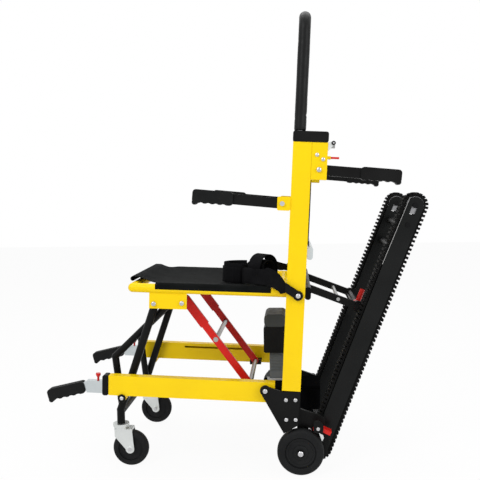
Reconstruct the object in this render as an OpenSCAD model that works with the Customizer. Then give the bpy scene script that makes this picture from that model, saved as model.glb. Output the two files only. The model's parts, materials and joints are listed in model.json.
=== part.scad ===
// Folding stair climbing wheelchair: two leaning uprights on a powered crawler unit,
// a seat, base rails and front legs that fold up together as one parallelogram.
// X runs to the rear, Y to the passenger's right, Z up; floor at Z 0.

/* [Uprights] */
// Half of the width over the uprights
half_w = 243; // [225:1:260]
// Depth of an upright tube, front to back
upright_d = 49; // [46:1:56]
// Width of an upright tube, side to side
upright_t = 30; // [28:1:34]
// Wall of an upright tube
upright_wall = 2.5; // [2:0.1:3.5]
// Length of an upright tube
upright_len = 655; // [620:1:700]
// Backward lean of the uprights, degrees
lean = 3.3; // [2:0.1:4]
// Height of the lower end of the uprights
foot_z = 231; // [226:1:240]
// Upright foot ahead of the rear axle
foot_ahead = 23; // [20:1:26]

/* [Seat] */
// Seat hinge height up the upright
hinge_up = 256; // [240:1:270]
// Seat hinge behind the upright's centre line
hinge_back = 6.5; // [5:0.1:7]
// Length of the seat frame ahead of its hinge
seat_len = 462; // [440:1:480]
// Radius of the seat tube
seat_r = 12.5; // [11:0.1:12.8]
// Upward tilt of the seat and the base rails to the front, degrees
tilt = 2.3; // [1:0.1:3]
// Fabric thickness of the seat sling
sling_t = 3.5; // [2.5:0.1:4]

/* [Fold linkage] */
// Front leg pivot ahead of the seat hinge, along the seat
link_len = 390; // [370:1:405]
// Front leg pivot below the seat tube's centre line
link_drop = 42; // [38:0.5:43]
// Rear end of the base rail's linkage ahead of the seat hinge
base_ahead = 90; // [84:1:96]
// Rear end of the base rail's linkage below the seat hinge
base_below = 255; // [245:1:265]
// Brace pivot ahead of the seat hinge, along the seat
brace_from = 313; // [305:1:320]
// Length of a brace between its ends
brace_len = 300; // [290:1:305]
// Angle of a brace to the seat's normal, degrees
brace_angle = 38.5; // [36:0.5:41]

/* [Base rails] */
// Height of a base rail
rail_h = 54; // [50:1:58]
// Width of a base rail
rail_t = 26; // [24:1:28]
// Wall of a base rail
rail_wall = 2.5; // [2:0.1:3]
// Length of a base rail ahead of its pivot
rail_len = 428; // [415:1:450]

/* [Wheels] */
// Diameter of a rear wheel
rear_d = 125; // [115:1:128]
// Width of a rear wheel
rear_t = 30; // [26:1:32]
// Diameter of a front caster wheel
caster_d = 100; // [90:1:104]
// Width of a front caster wheel
caster_t = 26; // [22:1:28]
// Distance of the caster swivel ahead of the rear axle
caster_ahead = 500; // [494:1:506]
// Distance of a caster wheel's axle behind its swivel
caster_trail = 27; // [22:1:30]

/* [Crawler] */
// Distance between the crawler's two drum axles
track_len = 708; // [670:1:740]
// Backward lean of the stowed crawler, degrees
track_lean = 21.4; // [20:0.1:23]
// Crawler drum axle behind the rear axle
track_back = 52; // [48:1:58]
// Crawler drum axle above the floor
track_up = 56; // [52:1:62]
// Half thickness of the crawler over the teeth
track_half = 35; // [33:0.5:37]
// Width of a crawler belt
belt_w = 36; // [32:1:38]
// Pitch of the belt teeth
tooth_pitch = 12; // [10:0.5:15]

/* [Handles] */
// Length of an armrest from its pivot to its tip
arm_len = 236; // [220:1:250]
// Upward slope of an armrest, degrees
arm_slope = 6; // [3:0.5:8]
// Length of a rear push handle from its pivot to its tip
push_len = 212; // [200:1:215]
// Downward slope of a rear push handle, degrees
push_slope = 5.8; // [4:0.2:8]
// Height of the lift handle above the head caps
lift_rise = 315; // [280:1:340]
// Radius of the lift handle's tube
lift_r = 11; // [10:0.1:12]
// Radius of the foam sleeve on the lift handle
lift_sleeve_r = 15.8; // [14:0.1:16]
// Length of a carry handle's grip
carry_len = 112; // [100:1:120]

/* [Hidden] */
$fn = 48;

// Clearances: parts that slide or turn, faces that pass, and the overrun of every cut
fit = 0.1;
gap = 0.4;
eps = 1;

// Lateral planes, measured from the middle
plate_t = 6;
rail_gap = 11;
leg_gap = 11;
calf_gap = 2;
leg_r = 11;
bead = 0.4;
stem_low = 120;
calf_r = 10;
slab_gap = 4;
brace_t = 10;
bracket_t = 10;
upright_in = half_w - upright_t;
upright_y = half_w - upright_t / 2;
rail_out = half_w - plate_t - rail_gap;
rail_in = rail_out - rail_t;
rail_y = rail_out - rail_t / 2;
leg_y = rail_in - leg_gap - leg_r;
seat_y = upright_in - seat_r - gap;
gusset_t = 4;
calf_y = leg_y - leg_r - calf_gap - calf_r;
brace_out = calf_y - calf_r - slab_gap;
brace_in = brace_out - brace_t;
bracket_out = upright_in - slab_gap;
bracket_in = bracket_out - bracket_t;
wheel_in = upright_in;

// Side view places, [x, z] from the rear axle's foot on the floor
up_dir = [sin(lean), cos(lean)];
back_dir = [cos(lean), -sin(lean)];
foot = [-foot_ahead, foot_z];
function on_upright(up, back) = foot + up * up_dir + back * back_dir;
fore_dir = [-cos(tilt), sin(tilt)];
down_dir = [-sin(tilt), -cos(tilt)];
seat_hinge = on_upright(hinge_up, hinge_back);
base_hinge = seat_hinge - [base_ahead, base_below];
leg_top = seat_hinge + link_len * fore_dir + link_drop * down_dir;
leg_low = leg_top - [base_ahead, base_below];
brace_drop = 38;
brace_top = seat_hinge + brace_from * fore_dir + brace_drop * down_dir;
brace_dir = cos(brace_angle) * down_dir - sin(brace_angle) * fore_dir;
brace_low = brace_top + brace_len * brace_dir;
track_foot = [track_back, track_up];
track_dir = [sin(track_lean), cos(track_lean)];
track_front = [-cos(track_lean), sin(track_lean)];
function on_track(along, ahead) = track_foot + along * track_dir + ahead * track_front;
leg_dir = (leg_low - leg_top) / norm(leg_low - leg_top);
leg_line = leg_top + leg_dir * (leg_top.x + caster_ahead) / -leg_dir.x;
elbow = [leg_line.x, max(leg_line.y, stem_low + leg_r + bead + gap)];

// Origin of the part: the middle of its length
carry_bend = 13;
carry_bite = 62;
carry_start = rail_len + carry_bite;
carry_low = 7;
front_x = base_hinge.x + (carry_start * fore_dir + carry_len * [-cos(carry_bend), -sin(carry_bend)]).x;
rear_x = track_back + track_len * sin(track_lean) + track_half;
mid_x = (front_x + rear_x) / 2;

// Shared small sizes
bolt_r = 4;
bolt_head_r = 6.2;
cheek_head_r = 5.2;
bolt_head_h = 5;
wall_t = 3;
tube_wall = 2;
yellow = "gold";
black = [0.08, 0.08, 0.08];
red = [0.85, 0.12, 0.1];
steel = [0.72, 0.74, 0.75];

module placed() { translate([-mid_x, 0, 0]) children(); }
module pair() { children(); mirror([0, 1, 0]) children(); }
module side(s) { if (s > 0) children(); else mirror([0, 1, 0]) children(); }
module at(p) { translate([p.x, 0, p.y]) children(); }
// A round bar across the chair at the side view place p, from y0 to y1
module across(p, r, y0, y1) { translate([p.x, y1, p.y]) rotate([90, 0, 0]) cylinder(r = r, h = y1 - y0); }
// A flat plate of the side view outline, from y0 to y1
module flat(y0, y1) { translate([0, y1, 0]) rotate([90, 0, 0]) linear_extrude(y1 - y0) children(); }
// A round bar between two points in space
module bar(p, q, r) {
    v = q - p;
    translate(p) rotate([0, acos(v.z / norm(v)), atan2(v.y, v.x)]) cylinder(r = r, h = norm(v));
}
function lift(p, y) = [p.x, y, p.y];
function cross2(a, b) = a.x * b.y - a.y * b.x;
module seat_at() { at(seat_hinge) rotate([0, tilt, 0]) children(); }
module base_at() { at(base_hinge) rotate([0, tilt, 0]) children(); }
module upright_at() { at(foot) rotate([0, lean, 0]) children(); }
module track_at() { at(track_foot) rotate([0, track_lean, 0]) children(); }
// A box given by its low and high corners
module block(a, b) { translate(a) cube(b - a); }
// A box whose four edges along Y are rounded
module soft_block(a, b, r) {
    flat(a.y, b.y) {
        translate([a.x + r, a.z]) square([b.x - a.x - 2 * r, b.z - a.z]);
        translate([a.x, a.z + r]) square([b.x - a.x, b.z - a.z - 2 * r]);
        for (x = [a.x + r, b.x - r], z = [a.z + r, b.z - r]) translate([x, z]) circle(r = r);
    }
}

// Uprights: rectangular tubes that carry everything
module uprights() {
    arm_hole_r = bolt_r + fit;
    color(yellow) placed() pair() difference() {
        upright_at() difference() {
            block([-upright_d / 2, upright_in, 0], [upright_d / 2, half_w, upright_len]);
            block([-upright_d / 2 + upright_wall, upright_in + upright_wall, -eps],
                [upright_d / 2 - upright_wall, half_w - upright_wall, upright_len + eps]);
        }
        across(seat_hinge, arm_hole_r, upright_in - eps, half_w + eps);
    }
}

// Side plates: black triangular cheeks between the uprights, the base rails and the wheels
lobe_r = 14;
plate_top = foot_z - gap - upright_d / 2 * sin(lean);
plate_low = 116;
plate_rear_low = 138;
plate_front = -44;
plate_tail = -6;
bolt_cols = [-37, -12];
bolt_rows = [155, 208];
foot_core_d = upright_d - 2 * upright_wall - 2 * gap;
foot_core_up = 60;
module side_plates() {
    color(black) placed() pair() difference() {
        union() {
            flat(half_w - plate_t, half_w) polygon([[foot.x - upright_d / 2, plate_top],
                [foot.x + upright_d / 2, plate_top], [plate_tail, plate_rear_low],
                [plate_front, plate_low], base_hinge - [lobe_r, lobe_r] * cos(45),
                base_hinge + [lobe_r, lobe_r] * cos(45)]);
            across(base_hinge, lobe_r, half_w - plate_t, half_w);
        }
        across(base_hinge, bolt_r + fit, half_w - plate_t - eps, half_w + eps);
        for (x = bolt_cols, z = bolt_rows)
            across([x, z], bolt_r + fit, half_w - plate_t - eps, half_w + eps);
    }
}

// Rear brackets: inner cheeks with the foot block, the wheel axle and the shaft bearing
axle_r = 6;
shaft_r = 8;
bearing_r = 22;
axle_boss_r = 16;
beam_h = 28;
cheek_rear_z = 172;
cheek_tail_z = 150;
bracket_tail = 66;
nut_t = 5;
nut_r = 9;
wheel_out = wheel_in + rear_t;
pedal_pivot = [47, 128];
pedal_pin_r = 5;
pedal_t = 24;
module rear_brackets() {
    rear = foot.x + upright_d / 2;
    color(black) placed() pair() {
        difference() {
            union() {
                flat(bracket_in, bracket_out) polygon([[plate_front, foot_z], [rear, foot_z],
                    [rear, cheek_rear_z], [bracket_tail, cheek_tail_z], [track_back + bearing_r, track_up],
                    [track_back, track_up - bearing_r], [0, rear_d / 2 - axle_boss_r],
                    [-axle_boss_r, rear_d / 2], [plate_tail, plate_rear_low], [plate_front, plate_rear_low]]);
                across(track_foot, bearing_r, bracket_in, bracket_out);
                across([0, rear_d / 2], axle_boss_r, bracket_in, wheel_in - gap);
            }
            across(track_foot, shaft_r + fit, bracket_in - eps, bracket_out + eps);
        }
        across([0, rear_d / 2], axle_r, bracket_in, wheel_out + nut_t);
        across([0, rear_d / 2], nut_r, wheel_out + gap, wheel_out + gap + nut_t);
        across(pedal_pivot, pedal_pin_r, bracket_in, bracket_out + 2 * gap + pedal_t + wall_t);
        across(pedal_pivot, pedal_r, bracket_out + 2 * gap + pedal_t,
            bracket_out + 2 * gap + pedal_t + wall_t);
        difference() {
            union() {
                block([plate_front, bracket_out, plate_rear_low + wall_t],
                    [plate_tail, half_w - plate_t, plate_top]);
                upright_at() block([-foot_core_d / 2, upright_in + upright_wall + gap, -foot_core_up],
                    [foot_core_d / 2, half_w - upright_wall - plate_t, foot_core_up]);
            }
            for (x = bolt_cols, z = bolt_rows)
                across([x, z], bolt_r + fit, bracket_out + plate_t, half_w);
        }
    }
}

// Head boxes: the fittings behind the upright tops that carry the push handles
head_d = 41;
head_len = 96;
head_back = upright_d / 2 + head_d;
push_under = 70;
push_up = upright_len - push_under;
push_back = upright_d / 2 + head_d / 2;
push_pivot = on_upright(push_up, push_back);
push_t = 20;
push_h = 27;
push_mouth = push_h / 2 + wall_t;
lever_t = 8;
lever_y = -upright_y;
stub_r = 2;
ear_r = 4;
ear_t = 2.5;
lever_r = 4;
clamp_under = 9;
release_under = 38;
clamp_base = [head_back + lever_r + gap, upright_len - clamp_under];
release_base = [head_back + lever_r + gap, upright_len - release_under];
module head_boxes() {
    slot_t = push_t + 2 * gap;
    color(yellow) placed() upright_at() for (base = [clamp_base, release_base]) {
        for (y0 = [lever_y - lever_t / 2 - gap - ear_t, lever_y + lever_t / 2 + gap])
            block([head_back - eps, y0, base.y - ear_r], [base.x + ear_r, y0 + ear_t, base.y + ear_r]);
        across(base, stub_r, lever_y - lever_t / 2 - gap, lever_y + lever_t / 2 + gap);
    }
    color(yellow) placed() pair() upright_at() difference() {
        block([upright_d / 2, upright_in, upright_len - head_len], [head_back, half_w, upright_len]);
        translate([0, upright_y - slot_t / 2, 0])
            block([push_back - push_mouth, 0, upright_len - head_len - eps],
                [head_back + eps, slot_t, push_up + push_mouth]);
        translate([push_back, 0, push_up]) rotate([-90, 0, 0])
            cylinder(r = bolt_r + fit, h = half_w + eps);
        translate([push_back, 0, push_up]) rotate([-90, 0, 0])
            cylinder(r = bolt_r + fit, h = upright_in);
    }
}

// Head caps: black covers with the round sockets of the lift handle
cap_h = 28;
cap_over = 1;
cap_round = 6;
lift_back = -8;
module head_caps() {
    color(black) placed() pair() upright_at() difference() {
        soft_block([-upright_d / 2 - cap_over, upright_in, upright_len],
            [head_back + cap_over, half_w + cap_over, upright_len + cap_h], cap_round);
        translate([lift_back, upright_y, upright_len - eps])
            cylinder(r = lift_r + fit, h = cap_h + 2 * eps);
    }
}

// Back bars: flat cross tubes on the rear faces of the uprights
bar_d = 16;
bar_h = 34;
bar_round = 7.5;
stay_bar_over = 4;
rest_bar_up = 366;
top_bar_under = 55;
bar_heights = [hinge_up + stay_bar_over, rest_bar_up, upright_len - top_bar_under];
module back_bars() {
    ends = [upright_y, upright_y, upright_in];
    color(yellow) placed() upright_at() for (i = [0:2])
        soft_block([upright_d / 2, -ends[i], bar_heights[i] - bar_h / 2],
            [upright_d / 2 + bar_d, ends[i], bar_heights[i] + bar_h / 2], bar_round);
}

// Backrest sling: a fabric panel stretched between the two upper back bars
rest_t = 2.2;
rest_half_w = 200;
rest_hem = 3;
rest_hem_h = 12;
module backrest_sling() {
    lo = bar_heights[1] + bar_h / 2 + gap;
    hi = bar_heights[2] - bar_h / 2 - gap;
    near = upright_d / 2 + gap;
    color(black) placed() upright_at() {
        block([near, -rest_half_w, lo], [near + rest_t, rest_half_w, hi]);
        for (up = [lo, hi - rest_hem_h])
            block([near, -rest_half_w, up], [near + rest_t + rest_hem, rest_half_w, up + rest_hem_h]);
    }
}

// Armrest brackets: forks on the front faces of the uprights
arm_t = 15;
arm_h = 27;
arm_wall = 2.5;
arm_up = 494;
arm_ahead = 21;
arm_pivot = on_upright(arm_up, -upright_d / 2 - arm_ahead);
arm_y = half_w - arm_t / 2;
fork_h = 36;
fork_front = 13;
fork_round = 4;
module arm_brackets() {
    x0 = -upright_d / 2 - arm_ahead - fork_front;
    y0 = arm_y - arm_t / 2 - gap;
    y1 = arm_y + arm_t / 2 + gap;
    color(yellow) placed() pair() difference() {
        upright_at() difference() {
            soft_block([x0, y0 - arm_wall, arm_up - fork_h / 2],
                [-upright_d / 2, y1 + arm_wall, arm_up + fork_h / 2], fork_round);
            block([x0 - eps, y0, arm_up - fork_h / 2 - eps],
                [-upright_d / 2 - arm_wall, y1, arm_up + fork_h / 2 + eps]);
        }
        across(arm_pivot, bolt_r + fit, y0 - arm_wall - eps, y1 + arm_wall + eps);
    }
}

// Stay arms: two fixed arms with open cradles that hold the stowed crawler's cross bar
stay_y = 128;
stay_t = 12;
stay_h = 20;
cross_r = 10;
cross_up = 396;
cross_ahead = 36;
track_cross = on_track(cross_up, cross_ahead);
stay_start = on_upright(bar_heights[0], upright_d / 2 + bar_d);
cradle_wall = 5;
cradle_r = cross_r + gap + cradle_wall;
stay_dir = (track_cross - stay_start) / norm(track_cross - stay_start);
stay_rod_r = 5;
stay_rod_share = 0.59;
stay_rod_at = stay_start + stay_rod_share * (track_cross - stay_start);
module stay_arms() {
    n = [-stay_dir.y, stay_dir.x];
    root = stay_start - stay_dir * stay_h / 2;
    exit_dir = [track_dir.y, -track_dir.x];
    e_n = [-exit_dir.y, exit_dir.x];
    reach = 2 * cradle_r;
    mouth = cross_r + gap;
    color(black) placed() pair() difference() {
        union() {
            flat(stay_y - stay_t / 2, stay_y + stay_t / 2) polygon([root - n * stay_h / 2,
                track_cross - n * stay_h / 2, track_cross + n * stay_h / 2, root + n * stay_h / 2]);
            across(track_cross, cradle_r, stay_y - stay_t / 2, stay_y + stay_t / 2);
        }
        across(track_cross, mouth, stay_y - stay_t, stay_y + stay_t);
        flat(stay_y - stay_t, stay_y + stay_t) polygon([track_cross - e_n * mouth,
            track_cross - e_n * mouth + exit_dir * reach, track_cross + e_n * mouth + exit_dir * reach,
            track_cross + e_n * mouth]);
        across(stay_rod_at, stay_rod_r + fit, stay_y - stay_t, stay_y + stay_t);
        upright_at() block([-upright_d, 0, hinge_up - 2 * bar_h],
            [upright_d / 2 + bar_d + fit, half_w, hinge_up + 2 * bar_h]);
    }
}

// Stay rod: the grey round bar between the two stay arms
module stay_rod() {
    end = stay_y + stay_t / 2;
    color(steel) placed() across(stay_rod_at, stay_rod_r, -end, end);
}

// Battery box and its lid, on the motor
pack_front = -102;
pack_rear = -34;
pack_half_w = 60;
pack_low = 290;
pack_top = 366;
lid_top = 403;
pack_round = 6;
lid_round = 14;
lid_in = 2;
module battery_box() {
    color(black) placed() soft_block([pack_front, -pack_half_w, pack_low],
        [pack_rear, pack_half_w, pack_top], pack_round);
}
module battery_lid() {
    color([0.35, 0.36, 0.37]) placed() soft_block([pack_front + lid_in, -pack_half_w + lid_in, pack_top],
        [pack_rear - lid_in, pack_half_w - lid_in, lid_top], lid_round);
}

// Drive motor with its gear case, hung between the rear brackets
motor_r = 30;
motor_half_w = 46;
motor_x = -56;
motor_low = 180;
disc_r = 42;
disc_half_w = 22;
disc_at = [-66, 182];
case_half_w = 15;
case_r = 26;
cross_t = 12;
gear_half_w = 56;
gear_low = 124;
gear_top = 191;
gear_back = 60;
barrel_r = 15;
module drive_motor() {
    rear = foot.x + upright_d / 2;
    color([0.3, 0.31, 0.32]) placed() difference() {
        union() {
            block([motor_x - motor_r, -motor_half_w, disc_at.y], [motor_x + motor_r, motor_half_w, pack_low]);
            across(disc_at, disc_r, -disc_half_w, disc_half_w);
            flat(-case_half_w, case_half_w) polygon([disc_at + [0, disc_r], disc_at - [0, disc_r],
                track_foot - [0, case_r], track_foot + [case_r, 0], track_foot + [0, case_r]]);
            across(track_foot, case_r, -case_half_w, case_half_w);
            block([rear - cross_t, -bracket_in, foot_z - beam_h], [rear, bracket_in, foot_z]);
            block([motor_x, -motor_half_w, foot_z - beam_h], [rear, motor_half_w, foot_z]);
            block([rear - cross_t, -gear_half_w, gear_low], [gear_back, gear_half_w, gear_top]);
            for (s = [-1, 1]) translate([gear_back - barrel_r, s * gear_half_w, gear_low + wall_t])
                cylinder(r = barrel_r, h = gear_top - gear_low - 4 * wall_t);
        }
        across(track_foot, shaft_r + fit, -case_half_w - eps, case_half_w + eps);
    }
}

// Bolts of the fixed frame: seat hinges, rail hinges, cheeks, push handles and armrests
module bolt(p, y0, y1, r = bolt_head_r) {
    across(p, bolt_r, y0, y1);
    across(p, r, y1, y1 + bolt_head_h);
}
screw_r = 5;
screw_h = 2.5;
head_screws = [[32, 14], [43, 30]];
bracket_screw = [25, 116];
module frame_bolts() {
    fork_y1 = arm_y + arm_t / 2 + gap + arm_wall;
    color(steel) placed() pair() {
        bolt(seat_hinge, seat_y - seat_r, half_w);
        across(seat_hinge, bolt_r, half_w, anchor_y + anchor_t + gap + wall_t);
        across(seat_hinge, bolt_head_r, anchor_y + anchor_t + gap, anchor_y + anchor_t + gap + wall_t);
        bolt(base_hinge, rail_in, half_w);
        for (x = bolt_cols, z = bolt_rows) bolt([x, z], bracket_out + plate_t + wall_t, half_w, cheek_head_r);
        bolt(push_pivot, upright_in, half_w);
        bolt(arm_pivot, fork_y1 - arm_t - 2 * gap - 2 * arm_wall, fork_y1);
        across(base_hinge, bolt_r + wall_t, rail_out + gap, half_w - plate_t);
        for (p = head_screws) across(on_upright(upright_len - p.x, upright_d / 2 + p.y), screw_r,
            half_w, half_w + screw_h);
        across(bracket_screw, screw_r, bracket_out, bracket_out + screw_h);
    }
}

// Seat frame: side tubes joined by round cross tubes, with the leg and brace gussets
gusset_edge = 13;
gusset_front = link_len + gusset_edge;
gusset_rear = brace_from - gusset_edge;
gusset_low = link_drop + gusset_edge;
seat_back = 11;
rear_cross = 42;
module seat_frame() {
    color(black) placed() {
        difference() {
            seat_at() union() {
                for (s = [-1, 1]) translate([-seat_len + seat_r, s * seat_y, 0]) rotate([0, 90, 0])
                    cylinder(r = seat_r, h = seat_len - seat_r + seat_back);
                for (x = [-seat_len + seat_r, -rear_cross])
                    across([x, 0], seat_r, -seat_y, seat_y);
                for (s = [-1, 1]) translate([-seat_len + seat_r, s * seat_y, 0]) sphere(r = seat_r);
                for (s = [0, 1]) mirror([0, s, 0]) flat(rail_in, rail_in + gusset_t)
                    polygon([[-gusset_front, 0], [-gusset_rear, 0], [-gusset_rear, -gusset_low],
                        [-gusset_front, -gusset_low]]);
            }
            for (s = [0, 1]) mirror([0, s, 0]) {
                across(seat_hinge, bolt_r + fit, seat_y - seat_r - eps, upright_in);
                across(leg_top, bolt_r + fit, rail_in - eps, rail_in + gusset_t + eps);
                across(brace_top, bolt_r + fit, rail_in - eps, rail_in + gusset_t + eps);
            }
        }
    }
}

// Seat sling: sagging fabric over the side tubes, sleeves round them and a front roll
sling_rear = 72;
sling_notch = 386;
front_half_w = 166;
hem_in = 4;
sleeve_edge = 2;
sleeve_t = 2.2;
roll_r = 7;
roll_up = seat_r + gap + roll_r;
flap_rear = seat_len - 2 * seat_r - 2 * sling_t;
module seat_sling() {
    ys = [for (i = [-8:8]) i / 8];
    strip = [for (y = ys) [y * seat_y, sling_top(y * seat_y)]];
    under = [for (i = [8:-1:-8]) [i / 8 * seat_y, sling_top(i / 8 * seat_y) - sling_t]];
    top = seat_r + gap + sling_t;
    color(black) placed() seat_at() difference() {
        union() {
            translate([-sling_notch, 0, 0]) rotate([90, 0, 90])
                linear_extrude(sling_notch - sling_rear) polygon(concat(strip, under));
            intersection() {
                translate([-flap_rear, 0, 0]) rotate([90, 0, 90])
                    linear_extrude(flap_rear - sling_notch + eps) polygon(concat(strip, under));
                block([-seat_len, -front_half_w, -seat_r], [-sling_rear, front_half_w, top]);
            }
            across([-seat_len + hem_in, roll_up], roll_r, -front_half_w, front_half_w);
            block([-seat_len + hem_in, -front_half_w, seat_r + gap], [-flap_rear, front_half_w, top]);
            block([-flap_rear - sling_t, -front_half_w, sling_top(0) - sling_t],
                [-flap_rear, front_half_w, top]);
            for (s = [-1, 1]) difference() {
                translate([-sling_notch, s * seat_y, 0]) rotate([0, 90, 0])
                    cylinder(r = seat_r + gap + sleeve_t, h = sling_notch - sling_rear);
                block([-seat_len, -half_w, -2 * seat_r], [0, half_w, sleeve_edge]);
                block([-seat_len, s > 0 ? upright_in - gap : -half_w, -seat_r],
                    [0, s > 0 ? half_w : gap - upright_in, 2 * seat_r]);
            }
        }
        for (s = [-1, 1]) translate([-seat_len - eps, s * seat_y, 0]) rotate([0, 90, 0])
            cylinder(r = seat_r + gap / 2, h = seat_len + 2 * eps);
        across([-seat_len + seat_r, 0], seat_r + gap / 2, -seat_y - seat_r, seat_y + seat_r);
    }
}

// Lap belt: webbing from the hinge anchors over an arch in front of each upright, and on
// the left side through the buckle into a loose coil that stands on the seat
web_w = 44;
web_t = 2.2;
coil_r = 40;
coil_at = [-172, -118];
coil_from = -60;
coil_turn = 310;
coil_steps = 28;
loop_r = 36;
loop_turn = 50;
loop_at = [-97, -156];
loop_up = 62;
loop_steps = 18;
sling_sag = 8;
anchor_t = 4;
anchor_r = 13;
anchor_len = 34;
anchor_y = half_w + bolt_head_h + gap;
web_y = anchor_y + anchor_t / 2;
far_end = 230;
far_y = 178;
strap_up = 41;
buckle_size = [46, 34, 14];
function sling_top(y) = seat_r + gap + sling_t - sling_sag * (1 - pow(y / seat_y, 2));
buckle_low = sling_top(loop_at.y - buckle_size.y / 2) + gap;
function turn(a) = [cos(a), sin(a)];
// A strip of webbing along points p with the width vectors w
module ribbon(p, w) {
    n = len(p);
    function run(i) = p[min(i + 1, n - 1)] - p[max(i - 1, 0)];
    function thick(i) = let (m = cross(run(i), w[i])) m / norm(m) * web_t / 2;
    ring = [for (i = [0:n - 1]) let (h = w[i] / 2, m = thick(i))
        each [p[i] - h - m, p[i] + h - m, p[i] + h + m, p[i] - h + m]];
    faces = concat([[2, 1, 0], [3, 2, 0]],
        [for (i = [0:n - 2], k = [0:3]) let (a = 4 * i + k, b = 4 * i + (k + 1) % 4)
            each [[b + 4, a + 4, a], [b, b + 4, a]]],
        [let (e = 4 * n - 4) each [[e + 1, e + 2, e], [e + 2, e + 3, e]]]);
    polyhedron(ring, faces);
}
// The left tail and arch, drawn on the side s
// The strap from one anchor, its face outward
function strap(s) = [[-anchor_len - gap, s * web_y, anchor_len - anchor_r],
    [-anchor_len - anchor_r, s * (web_y - anchor_t), anchor_len - 2 * anchor_t],
    [-anchor_len - 2 * anchor_r, s * (half_w - anchor_t), strap_up - 2 * anchor_t],
    [-2 * anchor_len - anchor_r, s * (seat_y + seat_r + slab_gap), strap_up],
    [-3 * anchor_len, s * (seat_y + 2 * slab_gap), strap_up],
    [-4 * anchor_len + anchor_r, s * seat_y, strap_up]];
strap_shares = [[0, 0, 0.6], [-0.1, 0, 0.75], [-0.3, 0, 0.9], [-0.1, 0, 0.95], [0, 0, 0.95], [0, 0, 0.95]];
far_shares = [[0, -0.4, 0.7], [0, -0.98, 0], [0, -0.98, 0]];
module lap_loop() {
    e = [turn(loop_turn).x, turn(loop_turn).y, 0];
    w = [-turn(loop_turn).y, turn(loop_turn).x, 0] * web_w;
    mid = [loop_at.x, loop_at.y, loop_up];
    right = mid + loop_r * e;
    left = mid - loop_r * e;
    bow = [for (i = [0:loop_steps]) let (a = 180 * i / loop_steps)
        mid + loop_r * (cos(a) * e + sin(a) * [0, 0, 1])];
    path = concat([[right.x, right.y, sling_top(right.y - w.y / 2) + gap]], bow,
        [[left.x, left.y, sling_top(left.y - w.y / 2) + gap]]);
    ribbon(path, [for (q = path) w]);
}
module lap_belt() {
    coil = [for (i = [0:coil_steps])
        let (a = coil_from - coil_turn * i / coil_steps, c = coil_at + coil_r * turn(a))
        [c.x, c.y, sling_top(c.y) + gap + web_w / 2]];
    near = concat(strap(-1), [[-4 * anchor_len - slab_gap, -seat_y + 5 * slab_gap, strap_up]]);
    far = concat(strap(1), [[-4 * anchor_len - anchor_r, far_y + slab_gap, strap_up - anchor_t],
        [-far_end + web_w, far_y, sling_top(far_y + web_w / 2) + gap + web_t],
        [-far_end, far_y, sling_top(far_y + web_w / 2) + gap + web_t]]);
    color([0.13, 0.13, 0.14]) placed() seat_at() {
        ribbon(concat(near, coil),
            concat(strap_shares * web_w, [for (i = [0:coil_steps + 1]) [0, 0, web_w]]));
        ribbon(far, concat(strap_shares, far_shares) * web_w);
        lap_loop();
    }
}
module belt_buckle() {
    color(black) placed() seat_at()
        translate([loop_at.x - buckle_size.x / 2, loop_at.y - buckle_size.y / 2 + slab_gap, buckle_low])
            cube(buckle_size);
}

// Belt anchors: black tabs on the outer ends of the seat hinge
module belt_anchors() {
    color(black) placed() pair() seat_at() difference() {
        union() {
            across([0, 0], anchor_r, anchor_y, anchor_y + anchor_t);
            flat(anchor_y, anchor_y + anchor_t) polygon([[0, anchor_r], [0, -anchor_r],
                [-anchor_len, anchor_len / 4], [-anchor_len, anchor_len]]);
        }
        across([0, 0], bolt_r + fit, anchor_y - eps, anchor_y + anchor_t + eps);
    }
}

// Seat bolts: leg pivots and brace pivots through the gussets
module seat_bolts() {
    color(steel) placed() pair() {
        bolt(leg_top, leg_y - leg_r, rail_in + gusset_t);
        across(leg_top, bolt_head_r, leg_y + leg_r + gap, rail_in);
        bolt(brace_top, brace_in, rail_in + gusset_t);
        across(brace_top, bolt_head_r, brace_out + gap, rail_in);
    }
}

// Base rails: rectangular tubes with rounded rear ends, brace slots and leg lugs
rail_below = 9;
rail_tail = 25;
lug_r = 11;
slot_front = 286;
slot_rear = 84;
slot_h = 6;
slot_up = 12;
module base_rails() {
    lug = [-link_len, -link_drop];
    color(yellow) placed() pair() base_at() difference() {
        union() {
            block([-rail_len, rail_in, -rail_below - rail_h / 2],
                [rail_tail, rail_out, -rail_below + rail_h / 2]);
            across(lug, lug_r, rail_in, rail_out);
        }
        block([-rail_len - eps, rail_in + rail_wall, -rail_below - rail_h / 2 + rail_wall],
            [-rail_h / 2, rail_out - rail_wall, -rail_below + rail_h / 2 - rail_wall]);
        across([0, 0], bolt_r + fit, rail_in - eps, rail_out + eps);
        across(lug, bolt_r + fit, rail_in - eps, rail_out + eps);
        block([-slot_front, rail_in - eps, -rail_below + slot_up],
            [-slot_rear, rail_in + rail_wall + eps, -rail_below + slot_up + slot_h]);
    }
}

// Rail caps: black end covers that guide the carry handles
cap_t = 17;
carry_t = 18;
carry_h = 33;
module rail_caps() {
    mid = -rail_below - carry_low;
    color(black) placed() pair() base_at() difference() {
        soft_block([-rail_len - cap_t, rail_in - cap_over, -rail_below - rail_h / 2 - cap_over],
            [-rail_len, rail_out + cap_over, -rail_below + rail_h / 2 + cap_over], cap_round);
        block([-rail_len - cap_t - eps, rail_y - carry_t / 2 - gap, mid - carry_h / 2 - gap],
            [-rail_len + eps, rail_y + carry_t / 2 + gap, mid + carry_h / 2 + gap]);
    }
}

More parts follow.
